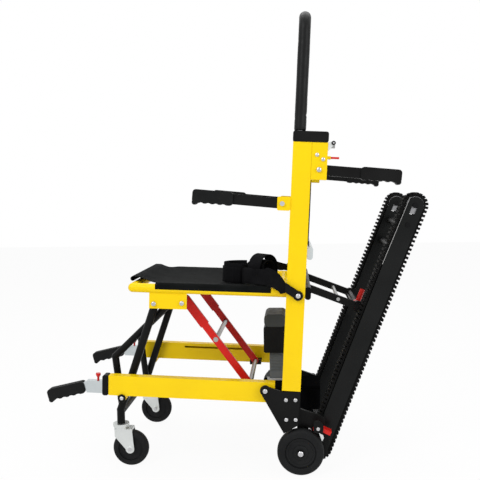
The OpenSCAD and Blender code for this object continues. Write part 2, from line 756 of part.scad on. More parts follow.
// Brace catches: saddles on the inner faces of the rails under the brace's lower rod
rod_r = 7;
catch_t = 12;
catch_w = 18;
catch_arm = 8;
module brace_catches() {
    top = brace_low.y;
    low = base_hinge.y - rail_below - rail_h / 3;
    color(black) placed() pair() difference() {
        union() {
            block([brace_low.x - catch_w, brace_out + gap, low], [brace_low.x + catch_w,
                brace_out + gap + catch_t, top]);
            block([brace_low.x - catch_w, brace_out + gap, low], [brace_low.x + catch_w, rail_in,
                low + catch_arm]);
        }
        across(brace_low, rod_r + gap, brace_in, rail_in);
    }
}

// Front legs: tubes from the seat to the caster stems, with a cross tube
leg_bar_z = 149;
leg_bar_r = 9;
stem_bore_r = 6;
module front_legs() {
    color(black) placed() difference() {
        union() {
            pair() {
                bar(lift(leg_top, leg_y), lift(elbow, leg_y), leg_r);
                translate(lift(elbow, leg_y)) sphere(r = leg_r + bead);
                bar([elbow.x, leg_y, stem_low], lift(elbow, leg_y), leg_r);
                across(leg_top, leg_r + eps, leg_y - leg_r, leg_y + leg_r);
                across(leg_low, bolt_r, leg_y, rail_out + gap);
                across(leg_low, bolt_head_r, leg_y, rail_in - gap);
                across(leg_low, bolt_head_r, rail_out + gap, rail_out + gap + wall_t);
            }
            across([elbow.x, leg_bar_z], leg_bar_r, -leg_y, leg_y);
        }
        for (s = [0, 1]) mirror([0, s, 0]) {
            across(leg_top, bolt_r + fit, leg_y - leg_r - eps, leg_y + leg_r + eps);
            translate([elbow.x, leg_y, stem_low - eps])
                cylinder(r = stem_bore_r + fit, h = leg_bar_z - stem_low - leg_r);
        }
    }
}

// Calf frame: bent side tubes and the calf bar in front of the legs
calf_top_back = 24;
calf_top_drop = 17;
calf_bar_ahead = 124;
calf_bar_drop = 157;
calf_top = leg_top + [calf_top_back, -calf_top_drop];
calf_bar = leg_top - [calf_bar_ahead, calf_bar_drop];
calf_low = [elbow.x, leg_bar_z];
weld_r = 7;
calf_bar_r = 9;
module calf_frame() {
    run = calf_bar - calf_top;
    cross_over = calf_top + run * cross2(leg_top - calf_top, leg_dir) / cross2(run, leg_dir);
    color(black) placed() difference() {
        union() {
            pair() {
                bar(lift(calf_top, calf_y), lift(calf_bar, calf_y), calf_r);
                bar(lift(calf_bar, calf_y), lift(calf_low, calf_y), calf_r);
                translate(lift(calf_bar, calf_y)) sphere(r = calf_r + bead);
                translate(lift(calf_top, calf_y)) sphere(r = calf_r + bead);
            }
            across(calf_bar, calf_bar_r, -calf_y, calf_y);
            for (s = [0, 1]) mirror([0, s, 0]) across(cross_over, weld_r, calf_y, leg_y);
        }
        for (s = [0, 1]) mirror([0, s, 0])
            bar(lift(leg_top, leg_y), lift(elbow, leg_y), leg_r + gap / 2);
        across(calf_low, leg_bar_r + gap / 2, -leg_y, leg_y);
    }
}

// Caster forks: bent steel forks with their swivel pins
wheel_gap = 2;
fork_in = caster_t / 2 + wheel_gap;
fork_wall = 3;
fork_top_t = 6;
race_r = 22.5;
neck_r = 20;
race_h = 8;
plate_fore = 15;
plate_aft = 34;
fork_knee = 30;
pin_h = 14;
caster_axle_r = 5;
fork_end_r = 12;
module caster_fork(s) {
    c = [elbow.x + caster_trail, caster_d / 2];
    top = stem_low - gap;
    crown = caster_d + 2 * gap;
    color(steel) placed() side(s) difference() {
        union() {
            translate([elbow.x, leg_y, crown]) cylinder(r = neck_r, h = top - crown);
            translate([elbow.x, leg_y, top - race_h]) cylinder(r = race_r, h = race_h);
            translate([elbow.x, leg_y, crown]) cylinder(r = stem_bore_r, h = top - crown + pin_h);
            for (y0 = [leg_y - fork_in - fork_wall, leg_y + fork_in]) {
                flat(y0, y0 + fork_wall) polygon([[elbow.x - plate_fore, crown + fork_top_t],
                    [elbow.x + plate_aft, crown + fork_top_t],
                    [elbow.x + plate_aft + wall_t, crown - fork_knee], c + [fork_end_r, 0],
                    c - [fork_end_r, 0], [elbow.x - plate_fore, crown - fork_knee / 2]]);
                across(c, fork_end_r, y0, y0 + fork_wall);
            }
            block([elbow.x - plate_fore, leg_y - fork_in - fork_wall, crown],
                [elbow.x + plate_aft, leg_y + fork_in + fork_wall, crown + fork_top_t]);
            across(c, caster_axle_r, leg_y - fork_in - fork_wall, leg_y + fork_in + fork_wall);
            across(c, bolt_head_r, leg_y + fork_in + fork_wall, leg_y + fork_in + fork_wall + wall_t);
        }
    }
}
module caster_fork_left() { caster_fork(-1); }
module caster_fork_right() { caster_fork(1); }

// Wheels: rounded tyres on hubs with a bore
tread_round = 10;
module wheel(d, t, bore, hub_r, hub_in) {
    rotate([90, 0, 0]) rotate_extrude($fn = 96) difference() {
        union() {
            translate([bore, -t / 2]) square([d / 2 - bore - tread_round, t]);
            translate([d / 2 - 2 * tread_round, -t / 2 + tread_round])
                square([2 * tread_round, t - 2 * tread_round]);
            for (y = [-1, 1]) translate([d / 2 - tread_round, y * (t / 2 - tread_round)])
                circle(r = tread_round);
        }
        for (y = [-1, 1]) translate([(bore + hub_r) / 2 + hub_in, y * t / 2])
            square([hub_r - bore - hub_in, 2 * hub_in], center = true);
    }
}
caster_hub_r = 32;
rear_hub_r = 40;
hub_in = 4;
module caster_wheel(s) {
    color([0.2, 0.2, 0.2]) placed() side(s)
        translate([elbow.x + caster_trail, leg_y, caster_d / 2])
            wheel(caster_d, caster_t, caster_axle_r + fit, caster_hub_r, hub_in);
}
module caster_wheel_left() { caster_wheel(-1); }
module caster_wheel_right() { caster_wheel(1); }
module rear_wheel(s) {
    color([0.2, 0.2, 0.2]) placed() side(s)
        translate([0, wheel_in + rear_t / 2, rear_d / 2])
            wheel(rear_d, rear_t, axle_r + fit, rear_hub_r, hub_in);
}
module rear_wheel_left() { rear_wheel(-1); }
module rear_wheel_right() { rear_wheel(1); }

// A rubber grip from its inner end x0 to its outer end x1: wavy underside and end hooks
hook_r = 7;
hook_drop = 5;
wave_r = 13;
wave_n = 4;
wave_depth = 2.2;
module grip(x0, x1, y, h, t, r) {
    d = x1 > x0 ? 1 : -1;
    pitch = (abs(x1 - x0) - 4 * hook_r) / wave_n;
    difference() {
        union() {
            soft_block([min(x0, x1), y - t / 2, -h / 2], [max(x0, x1), y + t / 2, h / 2], r);
            across([x1 - d * hook_r, -h / 2 + hook_r - hook_drop], hook_r, y - t / 2, y + t / 2);
        }
        for (i = [0:wave_n - 1])
            across([x0 + d * (2 * hook_r + (i + 0.5) * pitch), -h / 2 - wave_r + wave_depth],
                wave_r, y - t, y + t);
    }
}

// Carry handles: square tubes that slide out of the rails, bent grips and lock knobs
carry_in = 150;
knob_r = 6.5;
knob_h = 11;
knob_clear = 9;
knob_stem_r = 3;
knob_inset = 30;
knob_at = carry_start - knob_inset;
knob_travel = 6;
grip_h = 32;
grip_t = 24;
grip_round = 10;
grip_start = 5;
carry_mid = -rail_below - carry_low;
core_h = 24;
core_end = 10;
module carry_bent() {
    translate([-carry_start, 0, carry_mid]) rotate([0, -carry_bend - tilt, 0]) children();
}
module carry_core(c) {
    block([-carry_len + core_end - c, rail_y - carry_t / 2 - c, -core_h / 2 - c],
        [core_h / 4, rail_y + carry_t / 2 + c, core_h / 2 + c]);
}
module carry_tube(s) {
    color([0.8, 0.83, 0.84]) placed() side(s) base_at() difference() {
        union() {
            block([-carry_start, rail_y - carry_t / 2, carry_mid - carry_h / 2],
                [-rail_len + carry_in, rail_y + carry_t / 2, carry_mid + carry_h / 2]);
            carry_bent() carry_core(0);
        }
        translate([-knob_at, rail_y, carry_mid])
            cylinder(r = knob_stem_r + fit, h = carry_h);
    }
}
module carry_tube_left() { carry_tube(-1); }
module carry_tube_right() { carry_tube(1); }
module carry_grip(s) {
    color(black) placed() side(s) base_at() carry_bent() difference() {
        grip(-grip_start, -carry_len, rail_y, grip_h, grip_t, grip_round);
        carry_core(fit);
    }
}
module carry_grip_left() { carry_grip(-1); }
module carry_grip_right() { carry_grip(1); }
module lock_knob(s) {
    color(red) placed() side(s) base_at() translate([-knob_at, rail_y, carry_mid + carry_h / 2]) {
        translate([0, 0, knob_clear]) cylinder(r1 = knob_stem_r, r2 = knob_r, h = knob_h / 2);
        translate([0, 0, knob_clear + knob_h / 2]) cylinder(r = knob_r, h = knob_h / 2);
        translate([0, 0, -carry_h / 2 + wall_t]) cylinder(r = knob_stem_r, h = carry_h / 2 + knob_clear);
    }
}
module lock_knob_left() { lock_knob(-1); }
module lock_knob_right() { lock_knob(1); }

// Armrests: flat tubes that swing up, with rounded grips
arm_grip_len = 107;
arm_grip_h = 36;
arm_grip_t = 22;
arm_grip_out = 1.7;
arm_grip_round = 9;
arm_end_r = arm_h / 2;
module arm_at() { at(arm_pivot) rotate([0, arm_slope, 0]) children(); }
module arm_tube(s) {
    color(black) placed() side(s) arm_at() difference() {
        union() {
            block([-arm_len + arm_grip_round, arm_y - arm_t / 2, -arm_h / 2],
                [0, arm_y + arm_t / 2, arm_h / 2]);
            across([0, 0], arm_end_r, arm_y - arm_t / 2, arm_y + arm_t / 2);
        }
        across([0, 0], bolt_r + fit, arm_y - arm_t, arm_y + arm_t);
    }
}
module arm_tube_left() { arm_tube(-1); }
module arm_tube_right() { arm_tube(1); }
module arm_grip(s) {
    x1 = -arm_len + arm_grip_len;
    color(black) placed() side(s) arm_at() difference() {
        grip(x1, -arm_len, arm_y + arm_grip_out, arm_grip_h, arm_grip_t, arm_grip_round);
        block([-arm_len + arm_grip_round - fit, arm_y - arm_t / 2 - fit, -arm_h / 2 - fit],
            [x1 + eps, arm_y + arm_t / 2 + fit, arm_h / 2 + fit]);
    }
}
module arm_grip_left() { arm_grip(-1); }
module arm_grip_right() { arm_grip(1); }

// Push handles: tubes hinged in the head boxes, with finger grips
push_grip_len = 104;
push_grip_h = 34;
push_grip_t = 28;
module push_at() { at(push_pivot) rotate([0, push_slope, 0]) children(); }
module push_tube(s) {
    color(black) placed() side(s) push_at() difference() {
        union() {
            block([0, upright_y - push_t / 2, -push_h / 2],
                [push_len - arm_grip_round, upright_y + push_t / 2, push_h / 2]);
            across([0, 0], push_h / 2, upright_y - push_t / 2, upright_y + push_t / 2);
        }
        across([0, 0], bolt_r + fit, upright_y - push_t, upright_y + push_t);
    }
}
module push_tube_left() { push_tube(-1); }
module push_tube_right() { push_tube(1); }
module push_grip(s) {
    x0 = push_len - push_grip_len;
    color(black) placed() side(s) push_at() difference() {
        grip(x0, push_len, upright_y, push_grip_h, push_grip_t, arm_grip_round);
        block([x0 - eps, upright_y - push_t / 2 - fit, -push_h / 2 - fit],
            [push_len - arm_grip_round + fit, upright_y + push_t / 2 + fit, push_h / 2 + fit]);
    }
}
module push_grip_left() { push_grip(-1); }
module push_grip_right() { push_grip(1); }

// Lift handle: a U of round tube that slides in the uprights, in a foam sleeve
lift_in = 235;
lift_bend = 45;
sleeve_from = 4;
module lift_at() { upright_at() translate([lift_back, 0, upright_len + cap_h]) children(); }
module u_bend(r, low) {
    top = lift_rise - lift_sleeve_r;
    for (s = [-1, 1]) {
        translate([0, s * upright_y, low]) cylinder(r = r, h = top - lift_bend - low);
        translate([0, s * (upright_y - lift_bend), top - lift_bend]) rotate([90, 0, 90])
            rotate([0, 0, s > 0 ? 0 : 90]) rotate_extrude(angle = 90) translate([lift_bend, 0]) circle(r = r);
    }
    across([0, top], r, -upright_y + lift_bend, upright_y - lift_bend);
}
module lift_tubes() {
    color(steel) placed() lift_at() u_bend(lift_r, -lift_in);
}
module lift_sleeve() {
    color(black) placed() lift_at() difference() {
        u_bend(lift_sleeve_r, sleeve_from);
        u_bend(lift_r + fit, -lift_in);
    }
}

// Levers on the left head box: the grey clamp cam and the red release
clamp_len = 14;
release_len = 26;
release_h = 5;
module lever(base, len, h) {
    difference() {
        union() {
            across(base, lever_r, lever_y - lever_t / 2, lever_y + lever_t / 2);
            block([base.x, lever_y - lever_t / 2, base.y - h / 2],
                [base.x + len, lever_y + lever_t / 2, base.y + h / 2]);
        }
        across(base, stub_r + fit, lever_y - lever_t, lever_y + lever_t);
    }
}
module clamp_lever() {
    color([0.6, 0.62, 0.62]) placed() upright_at() lever(clamp_base, clamp_len, 2 * lever_r);
}
module release_lever() {
    color(red) placed() upright_at() lever(release_base, release_len, release_h);
}

// Crawler: side plates, toothed rubber belts, cross bars, drums and the red latch grip
track_gap = 14;
track_plate_t = 3;
track_out = bracket_in - track_gap;
belt_out = track_out - track_plate_t - wheel_gap;
belt_in = belt_out - belt_w;
track_in = belt_in - wheel_gap - track_plate_t;
tooth_h = 7;
belt_t = 4;
drum_r = track_half - tooth_h - belt_t - gap;
plate_step = 1;
plate_half = drum_r - plate_step;
tension_slot = 26;
idler_r = 7;
lug_half = 24;
module track_plates() {
    lug_up = cross_up;
    color([0.14, 0.14, 0.15]) placed() pair() track_at() difference() {
        for (y0 = [track_in, track_out - track_plate_t]) union() {
            block([-plate_half, y0, 0], [plate_half, y0 + track_plate_t, track_len]);
            across([0, 0], plate_half, y0, y0 + track_plate_t);
            across([0, track_len], plate_half, y0, y0 + track_plate_t);
            if (y0 == track_in) flat(y0, y0 + track_plate_t) polygon([[0, lug_up - lug_half],
                [-cross_ahead, lug_up - cross_r], [-cross_ahead, lug_up + cross_r], [0, lug_up + lug_half]]);
        }
        across([0, 0], shaft_r + fit, track_in - eps, track_out + eps);
        across([0, track_len], idler_r + fit, track_in - eps, track_out + eps);
        block([-idler_r - fit, track_in - eps, track_len - tension_slot],
            [idler_r + fit, track_out + eps, track_len]);
    }
}
tooth_share = 0.55;
module belt_loop(r) {
    translate([-r, 0]) square([2 * r, track_len]);
    circle(r = r);
    translate([0, track_len]) circle(r = r);
}
module track_belts() {
    run_n = floor(track_len / tooth_pitch);
    end_n = floor(180 * track_half / (tooth_pitch * 180 / PI));
    tooth_w = tooth_pitch * tooth_share;
    r = drum_r + gap + belt_t;
    color(black) placed() pair() track_at() flat(belt_in, belt_out) {
        difference() {
            union() {
                belt_loop(r);
                for (i = [0:run_n - 1]) translate([-track_half, (i + 0.5) * track_len / run_n - tooth_w / 2])
                    square([2 * track_half, tooth_w]);
                for (e = [0, 1], i = [0:end_n]) translate([0, e * track_len])
                    rotate(e * 180 + 180 + 180 * (i + 0.5) / (end_n + 1))
                        translate([0, -tooth_w / 2]) square([track_half, tooth_w]);
            }
            belt_loop(drum_r + gap);
        }
    }
}
bar_step = 190;
top_bar_in = 55;
module track_bars() {
    bars_up = [cross_up + bar_step, track_len - top_bar_in];
    color([0.2, 0.2, 0.21]) placed() track_at() {
        across([-cross_ahead, cross_up], cross_r, -track_in, track_in);
        for (up = bars_up) across([0, up], cross_r, -track_in, track_in);
        pair() {
            across([0, track_len], idler_r, track_in, track_out + wall_t);
            across([0, track_len], bolt_head_r, track_out, track_out + wall_t);
            across([0, track_len - top_bar_in], bolt_head_r, track_out, track_out + wall_t);
        }
    }
}
module drive_drums() {
    color(steel) placed() track_at() {
        across([0, 0], shaft_r, -bracket_out, bracket_out);
        for (s = [0, 1]) mirror([0, s, 0]) across([0, 0], drum_r, belt_in, belt_out);
    }
}
module idler_drums() {
    color(steel) placed() track_at() for (s = [0, 1]) mirror([0, s, 0]) difference() {
        across([0, track_len], drum_r, belt_in, belt_out);
        across([0, track_len], idler_r + fit, belt_in - eps, belt_out + eps);
    }
}
latch_y = -98;
latch_t = 18;
latch_len = 36;
latch_r = 7;
module track_latch() {
    color(red) placed() track_at() difference() {
        union() {
            across([-cross_ahead, cross_up], cross_r + gap + wall_t, latch_y - latch_t / 2,
                latch_y + latch_t / 2);
            translate([-cross_ahead, latch_y, cross_up + cross_r]) cylinder(r = latch_r, h = latch_len);
        }
        across([-cross_ahead, cross_up], cross_r + fit, latch_y - latch_t, latch_y + latch_t);
    }
}

// Brake pedals: red foot pedals with a shoe beside the rear tyres
pedal_r = 8;
pedal_len = 36;
pedal_h = 10;
shoe_len = 13;
shoe_w = 7;
shoe_dir = ([0, rear_d / 2] - pedal_pivot) / norm([0, rear_d / 2] - pedal_pivot);
shoe_n = [shoe_dir.y, -shoe_dir.x];
module brake_pedal(s) {
    y0 = bracket_out + gap;
    color(red) placed() side(s) difference() {
        union() {
            across(pedal_pivot, pedal_r, y0, y0 + pedal_t);
            flat(y0, y0 + pedal_t) polygon([pedal_pivot + [0, pedal_h / 2],
                pedal_pivot + [pedal_len, -pedal_h],
                pedal_pivot + [pedal_len - pedal_h / 2, -2 * pedal_h],
                pedal_pivot - [0, pedal_h / 2]]);
            flat(y0, y0 + pedal_t) polygon([pedal_pivot + shoe_n * shoe_w, pedal_pivot - shoe_n * shoe_w,
                pedal_pivot + shoe_dir * shoe_len - shoe_n * shoe_w / 2,
                pedal_pivot + shoe_dir * shoe_len + shoe_n * shoe_w]);
        }
        across(pedal_pivot, pedal_pin_r + fit, y0 - eps, y0 + pedal_t + eps);
    }
}
module brake_pedal_left() { brake_pedal(-1); }
module brake_pedal_right() { brake_pedal(1); }

// Braces: red diagonal bars with thicker upper sleeves, and their cross rods
brace_w = 20;
sleeve_share = 0.3;
sleeve_extra = 3;
module brace_bars() {
    a = atan2(brace_dir.x, -brace_dir.y);
    color(red) placed() pair() difference() {
        at(brace_top) rotate([0, -a, 0]) union() {
            block([-brace_w / 2, brace_in, -brace_len], [brace_w / 2, brace_out, 0]);
            block([-brace_w / 2 - sleeve_extra, brace_in, -brace_len * sleeve_share],
                [brace_w / 2 + sleeve_extra, brace_out, 0]);
            across([0, 0], brace_w / 2 + sleeve_extra, brace_in, brace_out);
            across([0, -brace_len], brace_w / 2, brace_in, brace_out);
        }
        across(brace_top, bolt_r + fit, brace_in - eps, brace_out + eps);
        across(brace_low, rod_r + fit, brace_in - eps, brace_out + eps);
        across(brace_top + brace_dir * brace_len * rod_share, rod_r + fit, brace_in - eps, brace_out + eps);
    }
}
rod_share = 0.47;
module brace_rods() {
    mid = brace_top + brace_dir * brace_len * rod_share;
    color([0.6, 0.62, 0.6]) placed() {
        across(mid, rod_r, -brace_out, brace_out);
        across(brace_low, rod_r, -brace_out - catch_t, brace_out + catch_t);
    }
}

uprights();
side_plates();
rear_brackets();
head_boxes();
head_caps();
back_bars();
backrest_sling();
arm_brackets();
stay_arms();
stay_rod();
battery_box();
battery_lid();
drive_motor();
frame_bolts();
seat_frame();
seat_sling();
lap_belt();
belt_buckle();
belt_anchors();
seat_bolts();
base_rails();
rail_caps();
brace_catches();
front_legs();
calf_frame();
caster_fork_left();
caster_fork_right();
caster_wheel_left();
caster_wheel_right();
rear_wheel_left();
rear_wheel_right();
carry_tube_left();
carry_tube_right();
carry_grip_left();
carry_grip_right();
lock_knob_left();
lock_knob_right();
arm_tube_left();
arm_tube_right();
arm_grip_left();
arm_grip_right();
push_tube_left();
push_tube_right();
push_grip_left();
push_grip_right();
lift_tubes();
lift_sleeve();
clamp_lever();
release_lever();
track_plates();
track_belts();
track_bars();
drive_drums();
idler_drums();
track_latch();
brake_pedal_left();
brake_pedal_right();
brace_bars();
brace_rods();
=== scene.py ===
import json
import math
import bmesh
import bpy
from mathutils import Matrix, Vector


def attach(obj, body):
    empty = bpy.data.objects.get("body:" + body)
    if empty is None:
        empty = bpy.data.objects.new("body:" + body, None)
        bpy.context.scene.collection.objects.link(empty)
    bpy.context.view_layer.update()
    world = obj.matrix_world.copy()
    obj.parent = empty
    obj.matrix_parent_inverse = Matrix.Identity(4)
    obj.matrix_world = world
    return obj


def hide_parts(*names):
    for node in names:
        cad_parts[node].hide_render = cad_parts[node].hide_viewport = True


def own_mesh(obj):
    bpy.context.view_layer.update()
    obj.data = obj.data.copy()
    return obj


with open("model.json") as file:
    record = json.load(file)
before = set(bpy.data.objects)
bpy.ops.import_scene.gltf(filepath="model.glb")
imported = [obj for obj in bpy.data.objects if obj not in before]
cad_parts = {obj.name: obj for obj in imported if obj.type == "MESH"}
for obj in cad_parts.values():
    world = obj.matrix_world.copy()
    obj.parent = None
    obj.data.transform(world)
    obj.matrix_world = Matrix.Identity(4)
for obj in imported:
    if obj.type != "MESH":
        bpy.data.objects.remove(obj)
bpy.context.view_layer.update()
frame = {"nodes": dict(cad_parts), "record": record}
nodes = frame["nodes"]
scene = bpy.context.scene
scene.view_settings.view_transform = "Standard"


# Materials: every one is a Principled shader with colour, roughness and bump from noise in metres
def new_mat(name):
    m = bpy.data.materials.new(name)
    m.use_nodes = True
    t = m.node_tree
    t.nodes.clear()
    out = t.nodes.new("ShaderNodeOutputMaterial")
    bsdf = t.nodes.new("ShaderNodeBsdfPrincipled")
    t.links.new(bsdf.outputs["BSDF"], out.inputs["Surface"])
    return m, t, bsdf


def add(t, kind, **values):
    n = t.nodes.new(kind)
    for key, value in values.items():
        if key in n.inputs:
            n.inputs[key].default_value = value
        else:
            setattr(n, key, value)
    return n


def ramp(t, source, lo, hi, a, b):
    r = add(t, "ShaderNodeMapRange")
    r.inputs["From Min"].default_value = lo
    r.inputs["From Max"].default_value = hi
    r.inputs["To Min"].default_value = a
    r.inputs["To Max"].default_value = b
    t.links.new(source, r.inputs["Value"])
    return r.outputs["Result"]


def mix_colour(t, fac, a, b):
    n = add(t, "ShaderNodeMix", data_type="RGBA")
    n.inputs[6].default_value = (*a, 1)
    n.inputs[7].default_value = (*b, 1)
    t.links.new(fac, n.inputs[0])
    return n.outputs[2]


def coords(t, scale=(1, 1, 1)):
    c = add(t, "ShaderNodeTexCoord")
    m = add(t, "ShaderNodeMapping")
    m.inputs["Scale"].default_value = scale
    t.links.new(c.outputs["Object"], m.inputs["Vector"])
    return m.outputs["Vector"]


def noise(t, scale, detail=3.0, stretch=(1, 1, 1)):
    n = add(t, "ShaderNodeTexNoise", Scale=scale, Detail=detail)
    t.links.new(coords(t, stretch), n.inputs["Vector"])
    return n.outputs["Fac"]


def bump(t, bsdf, height, strength, distance):
    b = add(t, "ShaderNodeBump", Strength=strength, Distance=distance)
    t.links.new(height, b.inputs["Height"])
    t.links.new(b.outputs["Normal"], bsdf.inputs["Normal"])


def painted(name, colour, dark, rough=0.34, peel=0.0002, coat=0.25, spec=0.5):
    m, t, s = new_mat(name)
    s.inputs["Specular IOR Level"].default_value = spec
    cloud = noise(t, 9, 5)
    t.links.new(mix_colour(t, ramp(t, cloud, 0.35, 0.75, 0, 1), colour, dark), s.inputs["Base Color"])
    t.links.new(ramp(t, noise(t, 40, 4), 0.3, 0.7, rough - 0.06, rough + 0.1), s.inputs["Roughness"])
    s.inputs["Coat Weight"].default_value = coat
    s.inputs["Coat Roughness"].default_value = 0.22
    bump(t, s, noise(t, 620, 2), 0.25, peel)
    return m


def moulded(name, colour, dark, rough=0.5, grain=900, depth=0.0003, spec=0.5):
    m, t, s = new_mat(name)
    s.inputs["Specular IOR Level"].default_value = spec
    cloud = noise(t, 14, 4)
    t.links.new(mix_colour(t, ramp(t, cloud, 0.3, 0.7, 0, 1), colour, dark), s.inputs["Base Color"])
    t.links.new(ramp(t, noise(t, 60, 3), 0.3, 0.7, rough - 0.08, rough + 0.08), s.inputs["Roughness"])
    bump(t, s, noise(t, grain, 3), 0.35, depth)
    return m


def metal(name, colour, dark, rough=0.3, stretch=(1, 1, 1), fine=700):
    m, t, s = new_mat(name)
    s.inputs["Metallic"].default_value = 1.0
    cloud = noise(t, 12, 5)
    t.links.new(mix_colour(t, ramp(t, cloud, 0.3, 0.75, 0, 1), colour, dark), s.inputs["Base Color"])
    brushed = noise(t, fine, 3, stretch)
    t.links.new(ramp(t, brushed, 0.25, 0.75, rough - 0.08, rough + 0.12), s.inputs["Roughness"])
    bump(t, s, noise(t, fine, 3, stretch), 0.12, 0.0002)
    return m


def woven(name, colour, light, pitch=0.0022, rough=0.85):
    m, t, s = new_mat(name)
    s.inputs["Specular IOR Level"].default_value = 0.03
    k = 2 * math.pi / pitch / 20
    waves = []
    for axis in ("X", "Y"):
        w = add(t, "ShaderNodeTexWave", Scale=k, Distortion=0.6, wave_type="BANDS", bands_direction=axis)
        w.inputs["Detail"].default_value = 1.0
        t.links.new(coords(t), w.inputs["Vector"])
        waves.append(w.outputs["Fac"])
    weave = add(t, "ShaderNodeMath", operation="MULTIPLY")
    t.links.new(waves[0], weave.inputs[0])
    t.links.new(waves[1], weave.inputs[1])
    cloud = ramp(t, noise(t, 18, 5), 0.3, 0.75, 0, 0.6)
    fac = add(t, "ShaderNodeMath", operation="MULTIPLY_ADD")
    t.links.new(weave.outputs[0], fac.inputs[0])
    fac.inputs[1].default_value = 0.5
    t.links.new(cloud, fac.inputs[2])
    t.links.new(mix_colour(t, fac.outputs[0], colour, light), s.inputs["Base Color"])
    t.links.new(ramp(t, weave.outputs[0], 0, 1, rough - 0.1, rough + 0.08), s.inputs["Roughness"])
    s.inputs["Sheen Weight"].default_value = 0.01
    s.inputs["Sheen Roughness"].default_value = 0.5
    bump(t, s, weave.outputs[0], 0.5, 0.0005)
    return m


# 1 where the place along an axis of the part is past the limit, else 0
def past(t, axis, limit, operation="GREATER_THAN"):
    split = add(t, "ShaderNodeSeparateXYZ")
    t.links.new(coords(t), split.inputs["Vector"])
    test = add(t, "ShaderNodeMath", operation=operation)
    test.inputs[1].default_value = limit
    t.links.new(split.outputs[axis], test.inputs[0])
    return test.outputs[0]


BLACK_COAT = (0.004, 0.004, 0.0045)
BAR_SILVER, BAR_SPLIT_Z = (0.60, 0.64, 0.65), 0.54
MOTOR_GREY, MOTOR_REAR_X, MOTOR_LOW_Z = (0.125, 0.135, 0.135), 0.1475, 0.206


# Cross bars: brushed silver where they show behind the back, black where the lowest one lies at the seat
def bar_finish(name):
    m, t, s = new_mat(name)
    high = past(t, "Z", BAR_SPLIT_Z)
    t.links.new(mix_colour(t, high, BLACK_COAT, BAR_SILVER), s.inputs["Base Color"])
    t.links.new(high, s.inputs["Metallic"])
    s.inputs["Specular IOR Level"].default_value = 0.06
    along = (1, 0.05, 1)
    t.links.new(ramp(t, noise(t, 700, 3, along), 0.25, 0.75, 0.28, 0.46), s.inputs["Roughness"])
    bump(t, s, noise(t, 700, 3, along), 0.12, 0.0002)
    return m


# Motor: grey housing, with the gear case below it and behind the uprights black
def motor_finish(name):
    m, t, s = new_mat(name)
    case = add(t, "ShaderNodeMath", operation="MAXIMUM")
    t.links.new(past(t, "X", MOTOR_REAR_X), case.inputs[0])
    t.links.new(past(t, "Z", MOTOR_LOW_Z, "LESS_THAN"), case.inputs[1])
    t.links.new(mix_colour(t, case.outputs[0], MOTOR_GREY, BLACK_COAT), s.inputs["Base Color"])
    t.links.new(ramp(t, noise(t, 40, 4), 0.3, 0.7, 0.36, 0.52), s.inputs["Roughness"])
    s.inputs["Specular IOR Level"].default_value = 0.0
    bump(t, s, noise(t, 620, 2), 0.25, 0.0002)
    return m


mats = {}


def finish(make, name, *values, **named):
    mats[name] = make(name, *values, **named)


finish(painted, "paint_yellow", (0.95, 0.655, 0.002), (0.91, 0.61, 0.002), 0.36, coat=0.04, spec=0.16)
finish(painted, "paint_black", (0.004, 0.004, 0.004), (0.008, 0.008, 0.008), 0.36, coat=0.0, spec=0.1)
finish(moulded, "plastic_black", (0.004, 0.004, 0.004), (0.008, 0.008, 0.008), 0.46, spec=0.1)
finish(woven, "fabric_black", (0.003, 0.0035, 0.0035), (0.010, 0.011, 0.011))
finish(woven, "webbing", (0.003, 0.003, 0.0035), (0.011, 0.011, 0.012), 0.0016)
finish(metal, "grey_metal", (0.42, 0.42, 0.41), (0.30, 0.30, 0.30), 0.36, (1, 0.1, 1))
finish(moulded, "grey_plastic", (0.062, 0.067, 0.066), (0.046, 0.050, 0.049), 0.5, spec=0.2)
finish(painted, "motor_grey", MOTOR_GREY, (0.09, 0.098, 0.098), 0.42, coat=0.0, spec=0.2)
finish(metal, "bolt_steel", (0.62, 0.62, 0.63), (0.45, 0.45, 0.46), 0.26)
finish(metal, "zinc", (0.74, 0.76, 0.75), (0.60, 0.62, 0.61), 0.40)
finish(moulded, "tread", (0.007, 0.0075, 0.008), (0.014, 0.0145, 0.015), 0.62, 400, 0.0004, 0.12)
finish(metal, "silver", (0.62, 0.66, 0.67), (0.5, 0.54, 0.55), 0.34, (0.05, 1, 1))
finish(moulded, "grip_rubber", (0.006, 0.0065, 0.0065), (0.011, 0.0115, 0.0115), 0.66, 700, 0.0005, 0.12)
finish(moulded, "red_plastic", (0.66, 0.016, 0.010), (0.54, 0.011, 0.008), 0.3, 500, 0.0002, 0.25)
finish(painted, "red_paint", (0.66, 0.014, 0.009), (0.54, 0.010, 0.007), 0.34, coat=0.04, spec=0.2)
finish(metal, "tube_steel", (0.55, 0.56, 0.57), (0.45, 0.45, 0.46), 0.3)
finish(moulded, "foam", BLACK_COAT, (0.008, 0.0085, 0.0085), 0.4, 420, 0.0005, 0.14)
finish(painted, "track_black", (0.004, 0.0045, 0.0045), (0.008, 0.0085, 0.0085), 0.3, coat=0.0, spec=0.14)
finish(moulded, "thread", (0.022, 0.023, 0.024), (0.035, 0.036, 0.037), 0.75, 1500, 0.0001)
finish(moulded, "track_rubber", (0.003, 0.003, 0.003), (0.007, 0.007, 0.007), 0.7, 500, 0.0005, 0.08)
finish(painted, "track_steel", BLACK_COAT, (0.008, 0.008, 0.0085), 0.36, coat=0.0, spec=0.1)
# Painted shade: darker yellow for the shaded gap where the head box meets the upright
finish(painted, "seam_shade", (0.50, 0.33, 0.001), (0.44, 0.28, 0.001), 0.4, coat=0.0, spec=0.1)
finish(metal, "drum_alloy", (0.35, 0.35, 0.36), (0.25, 0.25, 0.26), 0.4)
finish(bar_finish, "bar_finish")
finish(motor_finish, "motor_finish")


def dress(node, name):
    nodes[node].data.materials.clear()
    nodes[node].data.materials.append(mats[name])


for part in frame["record"]["subparts"]:
    dress(part["node"], part["material_slot"])
dress("back_bars", "bar_finish")
dress("drive_motor", "motor_finish")

